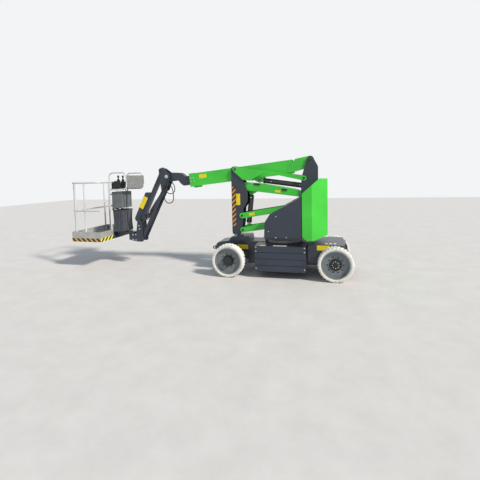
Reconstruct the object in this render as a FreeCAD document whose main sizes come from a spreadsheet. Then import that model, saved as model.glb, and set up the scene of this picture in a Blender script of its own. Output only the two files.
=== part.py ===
import FreeCAD, Part
import math
import os
import Sketcher

# A compact electric articulating boom lift: a chassis on four solid tyres, a turntable with a
# counterweight, a tower of two stacked parallelograms, a telescopic boom, a jib and a platform.
# Millimetres. +X runs from the slew axis towards the platform, +Y is the machine's left, +Z is up.
# Every body is drawn about the slew axis and placed so that the origin is under the middle of the
# machine's length.

Vector = FreeCAD.Vector

# Driving sizes: name, value, meaning.
SIZES = [
    ("wheelbase", 1758, "front axle to rear axle"),
    ("track", 1038, "tyre centre to tyre centre"),
    ("tyre_dia", 559, "over the lugs"),
    ("tyre_width", 178, "tyre width"),
    ("rim_dia", 451, "rim under the solid tyre"),
    ("rim_wall", 18, "thickness of the rim's barrel"),
    ("disc_wall", 14, "thickness of the wheel disc"),
    ("disc_inset", 46, "disc behind the rim's outer edge"),
    ("hub_dia", 164, "hub on the wheel disc"),
    ("hub_rise_front", 62, "front hub beyond the disc"),
    ("hub_rise_rear", 16, "rear hub beyond the disc"),
    ("spindle_dia", 50, "front wheel spindle"),
    ("spindle_reach", 118, "spindle beyond the kingpin"),
    ("yoke_arm", 26, "thickness of the kingpin yoke's arms"),
    ("pin_gap", 0.1, "running gap round a pin"),
    ("kingpin_inset", 99, "kingpin inside the tyre's middle"),
    ("kingpin_dia", 36, "kingpin"),
    ("steer_arm", 120, "kingpin to steering arm end"),
    ("steer_barrel", 260, "length of the steering cylinder's barrel"),
    ("frame_half_width", 200, "half width of the main frame"),
    ("frame_wall", 12, "plate thickness of the frame"),
    ("frame_top", 556, "top of the frame"),
    ("frame_bottom", 170, "underside of the middle frame"),
    ("front_frame_bottom", 350, "underside of the front frame"),
    ("front_frame_start", 610, "where the front frame begins"),
    ("nose_x", 1205, "front end of the frame"),
    ("rear_end_x", 1075, "rear end of the frame behind the slew axis"),
    ("rear_inset", 119, "rear frame's side inside the tyre's middle"),
    ("rear_frame_front", 440, "rear frame's front edge behind the slew axis"),
    ("axle_beam_half", 58, "half length of the front axle beam"),
    ("axle_beam_bottom", 205, "underside of the front axle beam"),
    ("drive_dia", 210, "drive unit at the rear wheels"),
    ("box_front_x", 419, "front of the battery boxes"),
    ("box_rear_x", 423, "rear of the battery boxes behind the slew axis"),
    ("box_outer_y", 556, "outer face of the battery boxes"),
    ("box_top", 548, "top of the battery boxes"),
    ("box_bottom", 120, "underside of the battery boxes"),
    ("box_wall", 6, "wall of the battery boxes"),
    ("rib_rise", 10, "ribs of the battery box covers"),
    ("hood_rear_x", 577, "rear of the front hood"),
    ("hood_front_x", 957, "front of the front hood"),
    ("hood_top", 643, "top of the front hood"),
    ("slew_dia", 660, "slewing ring"),
    ("slew_bore", 500, "bore of the slewing ring"),
    ("slew_height", 44, "fixed half of the slewing ring"),
    ("slew_gap", 0.5, "between fixed and turning halves"),
    ("deck_bottom", 652, "underside of the turntable deck"),
    ("deck_top", 690, "top of the turntable deck"),
    ("deck_front_x", 262, "front of the turntable deck"),
    ("deck_half_width", 520, "half width of the turntable deck"),
    ("weight_tail", 281, "rear of the counterweight behind the boom pivot"),
    ("weight_depth", 398, "counterweight, front to rear"),
    ("weight_facet", 243, "length of the rear corner facets"),
    ("weight_half_width", 560, "half width of the counterweight"),
    ("weight_rear_half", 370, "half width of the counterweight's rear face"),
    ("weight_bottom", 650, "underside of the counterweight"),
    ("weight_shoulder", 1405, "top of the counterweight's front edge"),
    ("weight_top", 1637, "top of the counterweight"),
    ("weight_crest", 134, "length of the counterweight's level top"),
    ("weight_notch", 168, "half width of the slot for the tower"),
    ("weight_back", 110, "thickness behind the slot"),
    ("plate", 12, "thickness of the tower's side plates"),
    ("upright_half", 112, "inner half width of the uprights"),
    ("link_half", 134, "inner half width of the outer links"),
    ("lower_top_x", 718, "front pivot of the lower arm's top links"),
    ("lower_top_z", 1004, "same, height"),
    ("lower_bottom_x", 710, "front pivot of the lower arm's bottom links"),
    ("lower_bottom_z", 748, "same, height"),
    ("lower_run", 1078, "lower arm, front pivot to rear pivot along X"),
    ("lower_rise", 171, "lower arm, front pivot to rear pivot along Z"),
    ("lower_top_r", 49, "half depth of the lower arm's top links"),
    ("lower_bottom_r", 47, "half depth of the lower arm's bottom links"),
    ("upper_top_x", 833, "front pivot of the upper arm's top links"),
    ("upper_top_z", 1835, "same, height"),
    ("upper_bottom_x", 843, "front pivot of the upper arm's bottom box"),
    ("upper_bottom_z", 1550, "same, height"),
    ("upper_run", 1208, "upper arm, front pivot to rear pivot along X"),
    ("upper_fall", 183, "upper arm, front pivot down to rear pivot"),
    ("upper_top_r", 44, "end radius of the upper arm's top links"),
    ("upper_box_half", 98, "half width of the upper arm's bottom box"),
    ("tower_eye_x", 631, "tower cylinder's lower eye"),
    ("tower_eye_z", 806, "same, height"),
    ("tower_pin_x", 563, "tower cylinder's upper pin"),
    ("tower_pin_z", 1408, "same, height"),
    ("tower_bore", 92, "outside diameter of the tower cylinder"),
    ("tower_rod", 56, "tower cylinder's rod"),
    ("boom_pivot_behind", 106, "boom pivot behind the upper arm's rear top pin"),
    ("boom_pivot_above", 315, "boom pivot above the same pin"),
    ("boom_slope", 6, "degrees the boom points down at rest"),
    ("boom_top", 39, "boom's top above its pivot line"),
    ("boom_depth", 238, "depth of the boom's outer tube"),
    ("boom_half", 88, "half width of the boom's outer tube"),
    ("boom_wall", 7, "wall of the boom tubes"),
    ("boom_length", 2226, "boom pivot to the front of the outer tube"),
    ("fly_depth", 170, "depth of the inner tube"),
    ("fly_half", 58, "half width of the inner tube"),
    ("pad_gap", 0.3, "between the inner tube and its wear pads"),
    ("fly_rear", 380, "boom pivot to the inner tube's rear end"),
    ("head_reach", 460, "head pivot beyond the outer tube"),
    ("head_rise", 49, "head pivot above the boom's pivot line"),
    ("head_boss", 78, "radius of the head pivot boss"),
    ("head_bore", 37, "radius of the bore through the head pivot"),
    ("lug_along", 922, "boom pivot to the lift lug, along the boom"),
    ("lug_drop", 239, "lift lug's pin below the boom's pivot line"),
    ("lift_base_behind", 50, "boom cylinder's base pin behind the upper arm's rear top pin"),
    ("lift_base_below", 140, "boom cylinder's base pin below the same pin"),
    ("lift_bore", 90, "outside diameter of the boom cylinder"),
    ("lift_rod", 56, "boom cylinder's rod"),
    ("jib_pin_ahead", 104.59, "jib's upper pivot ahead of the head pivot"),
    ("jib_pin_above", 115.03, "jib's upper pivot above the head pivot"),
    ("jib_length", 1107, "jib pivot to pivot"),
    ("jib_angle", 62.9, "degrees the jib hangs below level at rest"),
    ("jib_depth", 76, "depth of the jib tube"),
    ("jib_half", 38, "half width of the jib tube"),
    ("link_pin_behind", 35, "jib link's pivots behind the jib's"),
    ("link_pin_below", 350, "jib link's pivots below the jib's"),
    ("jib_link_half", 64, "inner half width of the jib links"),
    ("jib_link_depth", 52, "depth of the jib links"),
    ("jib_link_wall", 12, "thickness of the jib links"),
    ("jib_bore", 72, "outside diameter of the jib cylinder"),
    ("jib_rod", 40, "jib cylinder's rod"),
    ("jib_eye_inset", 97, "jib cylinder's eye before the jib's lower pin"),
    ("jib_eye_drop", 75, "jib cylinder's eye below the jib's axis"),
    ("head_half", 84, "inner half width of the head and support plates"),
    ("head_plate", 12, "thickness of the head and support plates"),
    ("rotator_ahead", 195.7, "axis of the platform rotator ahead of the jib's lower pin"),
    ("rotator_dia", 160, "platform rotator"),
    ("rotator_height", 140, "height of the rotator's fixed body"),
    ("rotator_below", 224.55, "top of the rotator's fixed body below the jib's lower pin"),
    ("cage_ahead", 355, "platform's machine side ahead of the rotator's axis"),
    ("cage_depth", 628, "platform, machine side to outer side"),
    ("cage_half", 545, "half width of the platform"),
    ("floor_below", 40, "platform deck below the top of the rotator's fixed body"),
    ("floor_depth", 67, "depth of the platform's floor frame"),
    ("toe_height", 116, "toe boards above the deck"),
    ("toe_wall", 4, "thickness of the toe boards"),
    ("rail_dia", 32, "platform's top rail"),
    ("post_dia", 30, "platform posts"),
    ("low_rail_dia", 28, "middle rail, entry bar and the console's hoops"),
    ("top_rail", 1050, "top rail's axis above the deck"),
    ("mid_rail", 518, "middle rail's axis above the deck"),
    ("rail_corner", 70, "corner radius of the rails"),
    ("rail_inset", 22, "rails' axes inside the platform's faces"),
    ("gate_ahead", 328, "entry bar's post ahead of the platform's machine side"),
    ("gate_hinge", 38, "entry bar's hinge behind its post"),
    ("hoop_near_y", 165, "near hoop of the console guard"),
    ("hoop_far_y", -450, "far hoop of the console guard"),
    ("hoop_reach", 365, "hoops beyond the platform's machine side"),
    ("hoop_low", 890, "underside of the hoops above the deck"),
    ("hoop_high", 1245, "top of the hoops above the deck"),
    ("hoop_corner", 80, "bend radius of the hoops"),
    ("console_low", 910, "underside of the console above the deck"),
    ("cabinet_height", 320, "cabinet under the console"),
    ("bag_depth", 428, "tool bag, rim to bottom"),
]

doc = FreeCAD.newDocument("BoomLift")
sheet = doc.addObject("Spreadsheet::Sheet", "Sizes")
for row, (name, value, meaning) in enumerate(SIZES, start=1):
    sheet.set(f"A{row}", name)
    sheet.set(f"B{row}", str(value))
    sheet.set(f"C{row}", meaning)
    sheet.setAlias(f"B{row}", name)
doc.recompute()


class Size:
    """A size: its value now and the expression that ties a feature to the sheet."""

    def __init__(self, value, text):
        self.value = float(value)
        self.text = text

    @staticmethod
    def of(thing):
        return thing if isinstance(thing, Size) else Size(thing, repr(float(thing)))

    def joined(self, other, sign, value):
        return Size(value, f"({self.text} {sign} {other.text})")

    def __add__(self, other):
        other = Size.of(other)
        return self.joined(other, "+", self.value + other.value)

    def __radd__(self, other):
        return Size.of(other) + self

    def __sub__(self, other):
        other = Size.of(other)
        return self.joined(other, "-", self.value - other.value)

    def __rsub__(self, other):
        return Size.of(other) - self

    def __mul__(self, other):
        other = Size.of(other)
        return self.joined(other, "*", self.value * other.value)

    def __rmul__(self, other):
        return Size.of(other) * self

    def __truediv__(self, other):
        other = Size.of(other)
        return self.joined(other, "/", self.value / other.value)

    def __neg__(self):
        return Size.of(0) - self


def cosine(angle):
    return Size(math.cos(math.radians(angle.value)), f"cos({angle.text} * 1 deg)")


def sine(angle):
    return Size(math.sin(math.radians(angle.value)), f"sin({angle.text} * 1 deg)")


def heading(run, rise):
    """The angle in degrees of a line that goes run along and rise up."""
    degrees = math.degrees(math.atan2(rise.value, run.value))
    return Size(degrees, f"(atan2({rise.text}; {run.text}) / 1 deg)")


def length_of(run, rise):
    return Size(math.hypot(run.value, rise.value), f"sqrt({run.text} ^ 2 + {rise.text} ^ 2)")


class Named:
    """The sheet's sizes as attributes."""


s = Named()
for name, _, _ in SIZES:
    setattr(s, name, Size(sheet.get(name), f"Sizes.{name}"))

wheel_r = s.tyre_dia / 2
axle_x = s.wheelbase / 2
wheel_y = s.track / 2

# Places that follow from the driving sizes, each from the piece that carries it.
s.kingpin_y = wheel_y - s.kingpin_inset
s.rear_half_width = wheel_y - s.rear_inset
s.boom_pivot_x = s.upper_run - s.upper_top_x + s.boom_pivot_behind
s.boom_pivot_z = s.upper_top_z - s.upper_fall + s.boom_pivot_above
s.weight_rear_x = s.boom_pivot_x + s.weight_tail
s.weight_front_x = s.weight_rear_x - s.weight_depth
s.weight_corner_x = s.weight_rear_x - s.weight_facet
s.weight_crest_x = s.weight_rear_x - s.weight_crest
s.lift_base_x = s.upper_run - s.upper_top_x + s.lift_base_behind
s.lift_base_z = s.upper_top_z - s.upper_fall - s.lift_base_below
s.head_along = s.boom_length + s.head_reach
s.head_x = s.head_along * cosine(s.boom_slope) + s.head_rise * sine(s.boom_slope) - s.boom_pivot_x
s.head_z = s.boom_pivot_z - s.head_along * sine(s.boom_slope) + s.head_rise * cosine(s.boom_slope)
s.jib_pin_x = s.head_x + s.jib_pin_ahead
s.jib_pin_z = s.head_z + s.jib_pin_above
s.link_pin_x = s.jib_pin_x - s.link_pin_behind
s.link_pin_z = s.jib_pin_z - s.link_pin_below
s.jib_eye_along = s.jib_length - s.jib_eye_inset
s.foot_x = s.jib_pin_x + s.jib_length * cosine(s.jib_angle)
s.foot_z = s.jib_pin_z - s.jib_length * sine(s.jib_angle)
s.rotator_x = s.foot_x + s.rotator_ahead
s.rotator_top = s.foot_z - s.rotator_below
s.rotator_bottom = s.rotator_top - s.rotator_height
s.cage_rear_x = s.rotator_x + s.cage_ahead
s.cage_front_x = s.cage_rear_x + s.cage_depth
s.gate_x = s.cage_rear_x + s.gate_ahead
s.hoop_rear_x = s.cage_rear_x - s.hoop_reach
s.floor_top = s.rotator_top - s.floor_below
s.floor_bottom = s.floor_top - s.floor_depth
s.toe_top = s.floor_top + s.toe_height
s.top_rail_z = s.floor_top + s.top_rail
s.mid_rail_z = s.floor_top + s.mid_rail
s.hoop_bottom = s.floor_top + s.hoop_low
s.hoop_top = s.floor_top + s.hoop_high
s.console_bottom = s.floor_top + s.console_low
middle_x = (s.cage_front_x - axle_x - wheel_r) / 2

PARTS = []

# How a sketch lies in each view: the origin plane's role and the sign of its normal.
VIEWS = {"side": ("XZ_Plane", -1), "top": ("XY_Plane", 1), "end": ("YZ_Plane", 1)}


def bind(thing, place, size):
    thing.setExpression(place, Size.of(size).text)


def new_body(label, x=0, y=0, z=0, tilt=None, turn=None):
    """A body, placed at x, y, z from the slew axis; tilt raises its +X end, turn is about Z."""
    body = doc.addObject("PartDesign::Body", label)
    body.Label = label
    if tilt is not None:
        body.Placement.Rotation = FreeCAD.Rotation(Vector(0, -1, 0), Size.of(tilt).value)
        bind(body, "Placement.Rotation.Angle", tilt)
    if turn is not None:
        body.Placement.Rotation = FreeCAD.Rotation(Vector(0, 0, 1), turn)
    bind(body, "Placement.Base.x", x - middle_x)
    bind(body, "Placement.Base.y", y)
    bind(body, "Placement.Base.z", z)
    PARTS.append(body)
    return body


def new_sketch(body, view, middle):
    role, sign = VIEWS[view]
    plane = [face for face in body.Origin.OriginFeatures if face.Role == role][0]
    sketch = body.newObject("Sketcher::SketchObject", f"{body.Name}_sketch")
    sketch.AttachmentSupport = [(plane, "")]
    sketch.MapMode = "FlatFace"
    bind(sketch, "AttachmentOffset.Base.z", Size.of(middle) * sign)
    return sketch


def hold(sketch, geometry, point, x, y):
    """Tie a point of the sketch to its two coordinates."""
    for kind, size in (("DistanceX", x), ("DistanceY", y)):
        index = sketch.addConstraint(
            Sketcher.Constraint(kind, -1, 1, geometry, point, size.value))
        bind(sketch, f"Constraints[{index}]", size)


def hold_radius(sketch, geometry, radius):
    index = sketch.addConstraint(Sketcher.Constraint("Radius", geometry, radius.value))
    bind(sketch, f"Constraints[{index}]", radius)


def draw_circle(sketch, x, y, radius):
    x, y, radius = Size.of(x), Size.of(y), Size.of(radius)
    circle = Part.Circle(Vector(x.value, y.value, 0), Vector(0, 0, 1), radius.value)
    geometry = sketch.addGeometry(circle)
    hold_radius(sketch, geometry, radius)
    hold(sketch, geometry, 3, x, y)


def tangent_line(start, end):
    """Where a line touches two corners' circles, both on its left, or right if negative."""
    (x1, y1, r1), (x2, y2, r2) = [[part.value for part in corner] for corner in (start, end)]
    span = math.hypot(x2 - x1, y2 - y1)
    way = math.atan2(y2 - y1, x2 - x1) - math.asin((r2 - r1) / span)
    left = Vector(-math.sin(way), math.cos(way), 0)
    return Vector(x1, y1, 0) - left * r1, Vector(x2, y2, 0) - left * r2


def draw_outline(sketch, corners, is_open=False):
    """An outline, anticlockwise where closed. A corner is x, y of its circle and the circle's
    radius: 0 is a sharp corner, and a negative radius is an inner corner's, or a right turn's."""
    corners = [[Size.of(part) for part in (*corner, 0)[:3]] for corner in corners]
    ends = [tangent_line(corner, corners[(i + 1) % len(corners)])
            for i, corner in enumerate(corners)]
    if is_open:
        ends.pop()
    lines = [sketch.addGeometry(Part.LineSegment(*pair)) for pair in ends]
    if is_open:
        hold(sketch, lines[0], 1, *corners[0][:2])
        hold(sketch, lines[-1], 2, *corners[-1][:2])
    for i, (x, y, radius) in enumerate(corners):
        if is_open and i in (0, len(corners) - 1):
            continue
        before, after = lines[i - 1], lines[i]
        if radius.value == 0:
            sketch.addConstraint(Sketcher.Constraint("Coincident", before, 2, after, 1))
            hold(sketch, after, 1, x, y)
            continue
        centre = Vector(x.value, y.value, 0)
        first, last = ends[i - 1][1] - centre, ends[i][0] - centre
        if radius.value < 0:
            first, last = last, first
        begin = math.atan2(first.y, first.x)
        finish = math.atan2(last.y, last.x)
        if finish <= begin:
            finish += 2 * math.pi
        circle = Part.Circle(centre, Vector(0, 0, 1), abs(radius.value))
        arc = sketch.addGeometry(Part.ArcOfCircle(circle, begin, finish))
        entry, leave = (1, 2) if radius.value > 0 else (2, 1)
        sketch.addConstraint(Sketcher.Constraint("Tangent", before, 2, arc, entry))
        sketch.addConstraint(Sketcher.Constraint("Tangent", arc, leave, after, 1))
        hold_radius(sketch, arc, radius if radius.value > 0 else -radius)
        hold(sketch, arc, 3, x, y)


def layer(body, view, middle, width, *loops, cut=False):
    """Add, or cut, a slab of the body: loops drawn in a view, width thick about middle.
    A loop of three plain sizes is a circle: x, y, radius."""
    sketch = new_sketch(body, view, middle)
    for loop in loops:
        if isinstance(loop, tuple):
            draw_circle(sketch, *loop)
        else:
            draw_outline(sketch, loop)
    kind = "PartDesign::Pocket" if cut else "PartDesign::Pad"
    feature = body.newObject(kind, f"{body.Name}_{'cut' if cut else 'pad'}")
    feature.Profile = sketch
    feature.Midplane = True
    bind(feature, "Length", width)
    body.Tip = feature
    return feature


def between(low, high):
    """Middle and width of the slab from low to high."""
    return (Size.of(low) + high) / 2, Size.of(high) - low


def block(x1, x2, y1, y2):
    """A rectangle as an outline."""
    return [(x1, y1), (x2, y1), (x2, y2), (x1, y2)]


def pair(body, view, inner, wall, *loops):
    """Two like plates, one each side of the centre line."""
    for side in (1, -1):
        layer(body, view, (Size.of(inner) + Size.of(wall) / 2) * side, wall, *loops)


def tube(body, view, middle, radius, corners, is_open=True):
    """A round bar along a path drawn in a view. The path starts along one of the axes."""
    path = new_sketch(body, view, middle)
    draw_outline(path, corners, is_open)
    first, second = [[Size.of(part) for part in corner[:2]] for corner in corners[:2]]
    across, up = (first[0], first[1])
    run = 0 if abs(first[0].value - second[0].value) > abs(first[1].value - second[1].value) else 1
    if not is_open:
        run = 0
        across, up = (first[0] + second[0]) / 2, first[1] - Size.of(corners[0][2])
    point = {"side": (across, middle, up), "top": (across, up, middle),
             "end": (middle, across, up)}[view]
    along = {"side": (0, 2), "top": (0, 1), "end": (1, 2)}[view][run]
    section = new_sketch(body, ("end", "side", "top")[along], point[along])
    draw_circle(section, *[size for axis, size in enumerate(point) if axis != along], radius)
    feature = body.newObject("PartDesign::AdditivePipe", f"{body.Name}_tube")
    feature.Profile = section
    feature.Spine = path
    body.Tip = feature
    return feature


def ring(body, profile):
    """Turn a profile of radius and Y about the body's own Y axis."""
    sketch = new_sketch(body, "top", 0)
    draw_outline(sketch, profile)
    feature = body.newObject("PartDesign::Revolution", f"{body.Name}_turned")
    feature.Profile = sketch
    axis = [face for face in body.Origin.OriginFeatures if face.Role == "Y_Axis"][0]
    feature.ReferenceAxis = (axis, [""])
    feature.Angle = 360
    body.Tip = feature
    return feature


# The four wheels: name, X sign, Y sign, hub beyond the disc, bore for the spindle.
WHEELS = [
    ("front_left", 1, 1, s.hub_rise_front, True),
    ("front_right", 1, -1, s.hub_rise_front, True),
    ("rear_left", -1, 1, s.hub_rise_rear, False),
    ("rear_right", -1, -1, s.hub_rise_rear, False),
]


def tyre(name, x_sign, y_sign):
    """A solid tyre: sidewalls, rounded shoulders and a tread band out to the lugs' tips."""
    body = new_body(f"tyre_{name}", axle_x * x_sign, wheel_y * y_sign, wheel_r)
    half = s.tyre_width / 2
    rim_r = s.rim_dia / 2
    ring(body, [(rim_r, -half + 8), (wheel_r - 16, -half + 16, 16), (wheel_r - 16, half - 16, 16),
                (rim_r, half - 8)])


def rim(name, x_sign, y_sign, rise, bored):
    """A dished steel wheel, its disc towards the outside, with the hub on the disc."""
    body = new_body(f"rim_{name}", axle_x * x_sign, wheel_y * y_sign, wheel_r,
                    turn=0 if y_sign > 0 else 180)
    half = s.tyre_width / 2 - 8
    rim_r = s.rim_dia / 2
    inner = rim_r - s.rim_wall
    face = half - s.disc_inset
    hub_r = s.hub_dia / 2
    back = face - s.disc_wall
    bore = s.spindle_dia / 2 + s.pin_gap
    if bored:
        reach = s.kingpin_y + s.spindle_reach - wheel_y + 4
        ring(body, [(0, reach), (bore, reach), (bore, back - 60), (hub_r - 20, back - 60),
                    (hub_r, back), (inner, back), (inner, -half), (rim_r, -half), (rim_r, half),
                    (inner, half), (inner, face), (hub_r, face), (hub_r - 6, face + rise),
                    (0, face + rise)])
    else:
        ring(body, [(0, back), (inner, back), (inner, -half), (rim_r, -half), (rim_r, half),
                    (inner, half), (inner, face), (hub_r + 14, face), (hub_r + 10, face + rise),
                    (0, face + rise)])


def knuckle(name, side):
    """A steering knuckle: kingpin, block between the yoke's arms, spindle and steering arm."""
    body = new_body(f"knuckle_{name}", axle_x, s.kingpin_y * side)
    face_gap = 1
    low = s.axle_beam_bottom + s.yoke_arm + face_gap
    high = s.front_frame_bottom - s.yoke_arm - face_gap
    inner, outer = sorted((-34 * side, 26 * side))
    layer(body, "top", *between(low, high),
          [(-22, inner + 10, 10), (22, inner + 10, 10), (22, outer - 10, 10), (-22, outer - 10, 10)])
    layer(body, "side", s.spindle_reach * side / 2, s.spindle_reach, (0, wheel_r, s.spindle_dia / 2))
    arm_top = s.axle_beam_bottom - 5
    layer(body, "top", *between(arm_top - 16, s.front_frame_bottom + 3), (0, 0, s.kingpin_dia / 2))
    arm = [(0, 0, 24), (s.steer_arm, -24 * side, 18)]
    layer(body, "top", *between(arm_top - 16, arm_top), arm)


def yoke_outline(side):
    """One arm of the axle's yoke, from the beam out to the kingpin."""
    outer, root = s.kingpin_y * side, (s.kingpin_y - 62) * side
    corners = [(axle_x - 54, root, 3), (axle_x + 54, root, 3), (axle_x, outer, 28)]
    return corners if side > 0 else corners[::-1]


def chassis_frame():
    """The welded frame: a hollow middle box, a high narrow front, a wide rear, the plate under
    the slewing ring, and the front axle beam with its yokes."""
    body = new_body("chassis_frame")
    half, wall, top = s.frame_half_width, s.frame_wall, s.frame_top
    rear, beam_top = -s.rear_end_x, s.front_frame_bottom
    inside = (half - wall) * 2
    layer(body, "side", 0, half * 2, [
        (rear + 60, s.frame_bottom + 90, 60), (rear + 170, s.frame_bottom),
        (s.front_frame_start, s.frame_bottom), (s.front_frame_start, beam_top),
        (s.nose_x - 30, beam_top + 30, 30), (s.nose_x - 80, top - 105, 80),
        (s.hood_front_x, top), (rear + 50, top - 50, 50)])
    layer(body, "side", 0, inside, block(rear + 190, s.front_frame_start - wall,
                                         s.frame_bottom - 20, top - wall), cut=True)
    layer(body, "side", 0, inside, block(s.front_frame_start + wall, s.hood_front_x,
                                         beam_top - 20, top - wall), cut=True)
    rear_inner = -s.rear_frame_front - wall
    for side in (1, -1):
        edge, seat = s.rear_half_width * side, half * side
        outline = [(rear + 40, seat), (-s.rear_frame_front, seat), (-s.rear_frame_front, edge),
                   (rear + 110, edge - 70 * side, 70)]
        hollow = [(rear + 52, seat), (rear_inner, seat), (rear_inner, edge - wall * side),
                  (rear + 122, edge - wall * side)]
        if side < 0:
            outline, hollow = outline[::-1], hollow[::-1]
        layer(body, "top", *between(s.frame_bottom + 90, top), outline)
        layer(body, "top", *between(s.frame_bottom + 70, top - wall), hollow, cut=True)
    layer(body, "top", *between(s.box_top, top), (0, 0, s.slew_dia / 2 + 14))
    layer(body, "side", 0, (s.kingpin_y - 60) * 2,
          block(axle_x - s.axle_beam_half, axle_x + s.axle_beam_half, s.axle_beam_bottom, beam_top))
    for side in (1, -1):
        hole = (axle_x, s.kingpin_y * side, s.kingpin_dia / 2 + s.pin_gap)
        layer(body, "top", *between(s.axle_beam_bottom, s.axle_beam_bottom + s.yoke_arm),
              yoke_outline(side), hole)
        layer(body, "top", *between(beam_top - s.yoke_arm, beam_top), yoke_outline(side), hole)


def front_hood():
    """The rounded steel cover over the front of the frame."""
    body = new_body("front_hood")
    profile = [(s.hood_rear_x, s.frame_top), (s.hood_front_x, s.frame_top),
               (s.hood_front_x - 75, s.hood_top - 60, 52), (s.hood_rear_x + 34, s.hood_top - 26, 26)]
    layer(body, "side", 0, s.frame_half_width * 2 + 8, profile)
    inner = [(s.hood_rear_x + 8, s.frame_top - 5), (s.hood_front_x - 8, s.frame_top - 5),
             (s.hood_front_x - 75, s.hood_top - 60, 44), (s.hood_rear_x + 34, s.hood_top - 26, 18)]
    layer(body, "side", 0, s.frame_half_width * 2 - 8, inner, cut=True)


def battery_box(name, side):
    """A battery box hung on the side of the frame, its cover pressed with lengthwise ribs."""
    body = new_body(f"battery_box_{name}")
    inner, outer, wall = s.frame_half_width, s.box_outer_y, s.box_wall
    cover = outer - s.rib_rise
    low, high = s.box_bottom, s.box_top
    slab_middle, slab_width = between(inner, cover)
    layer(body, "side", slab_middle * side, slab_width, block(-s.box_rear_x, s.box_front_x, low, high))
    core_middle, core_width = between(inner + wall, cover - wall)
    layer(body, "side", core_middle * side, core_width,
          block(-s.box_rear_x + wall, s.box_front_x - wall, low + wall, high - wall), cut=True)
    band_middle, band_width = between(cover, outer)
    pitch = (high - low) / 4
    for band in range(4):
        base = low + pitch * band
        layer(body, "side", band_middle * side, band_width,
              block(-s.box_rear_x, s.box_front_x, base + 5, base + pitch - 5))


def battery_packs():
    """The traction batteries, one plain block in each box."""
    body = new_body("battery_packs")
    low, high = s.box_bottom + s.box_wall, s.box_top - s.box_wall - 40
    inner, outer = s.frame_half_width + s.box_wall, s.box_outer_y - s.rib_rise - s.box_wall
    for side in (1, -1):
        middle, width = between(inner, outer - 30)
        layer(body, "side", middle * side, width,
              block(-s.box_rear_x + 30, s.box_front_x - 30, low, high))


def slew_ring():
    """The fixed half of the slewing ring, bolted to the frame."""
    body = new_body("slew_ring")
    layer(body, "top", *between(s.frame_top, s.frame_top + s.slew_height),
          (0, 0, s.slew_dia / 2), (0, 0, s.slew_bore / 2))


def rear_drives():
    """The two wheel drives, from the frame's sides to the rear wheel discs."""
    body = new_body("rear_drives")
    disc_back = wheel_y + s.tyre_width / 2 - 8 - s.disc_inset - s.disc_wall
    for side in (1, -1):
        middle, width = between(s.rear_half_width, disc_back - 0.5)
        layer(body, "side", middle * side, width, (-axle_x, wheel_r, s.drive_dia / 2))
        middle, width = between(s.rear_half_width, s.rear_half_width + 24)
        layer(body, "side", middle * side, width, (-axle_x, wheel_r, s.drive_dia / 2 + 26))


def steer_cylinder():
    """The steering cylinder's barrel, bracketed to the front of the axle beam."""
    body = new_body("steer_cylinder")
    x, z = axle_x + s.steer_arm, s.axle_beam_bottom + 27
    layer(body, "side", 0, s.steer_barrel, (x, z, 28))
    for side in (1, -1):
        layer(body, "side", (s.steer_barrel / 2 - 30) * side, 20,
              [(axle_x + s.axle_beam_half, z - 20), (x, z, 20), (axle_x + s.axle_beam_half, z + 60)])
    layer(body, "side", 0, s.steer_barrel + 40, (x, z, 12 + s.pin_gap), cut=True)


def steer_rod():
    """The steering cylinder's through rod, with an eye over each steering arm."""
    body = new_body("steer_rod")
    x, z = axle_x + s.steer_arm, s.axle_beam_bottom + 27
    reach = s.kingpin_y - 24
    layer(body, "side", 0, (reach - 12) * 2, (x, z, 12))
    for side in (1, -1):
        layer(body, "top", *between(s.axle_beam_bottom, z + 15), (x, reach * side, 21))


def turntable_base():
    """The deck on the slewing ring's turning half, with the two tower posts."""
    body = new_body("turntable_base")
    ring_bottom = s.frame_top + s.slew_height + s.slew_gap
    half, rear, front = s.deck_half_width, -s.weight_front_x, s.deck_front_x
    layer(body, "top", *between(s.deck_bottom, s.deck_top),
          [(rear, -half), (front - 50, -half + 50, 50), (front - 50, half - 50, 50), (rear, half)])
    layer(body, "top", *between(s.deck_bottom, s.deck_top),
          block(-s.weight_rear_x + s.weight_back + 0.3, rear + 1, -150, 150))
    layer(body, "top", *between(ring_bottom, s.deck_bottom), (0, 0, s.slew_dia / 2 - 10))
    layer(body, "top", *between(ring_bottom - 1, s.deck_bottom), (0, 0, s.slew_bore / 2), cut=True)
    top_x, top_z = s.lower_top_x - s.lower_run, s.lower_top_z + s.lower_rise
    low_x, low_z = s.lower_bottom_x - s.lower_run, s.lower_bottom_z + s.lower_rise
    post = [(top_x - 110, s.deck_top), (top_x + 230, s.deck_top), (top_x, top_z, 50),
            (top_x - 80, top_z - 20, 30)]
    pair(body, "side", s.upright_half, s.plate, post)
    layer(body, "side", 0, s.upright_half * 2,
          block(top_x - 110, top_x - 98, s.deck_top, low_z + 120))
    outward = s.link_half + s.plate + 4 - s.upright_half
    pair(body, "side", s.upright_half, outward, (top_x, top_z, 20))
    pair(body, "side", s.upright_half, outward, (low_x, low_z, 20))


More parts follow.
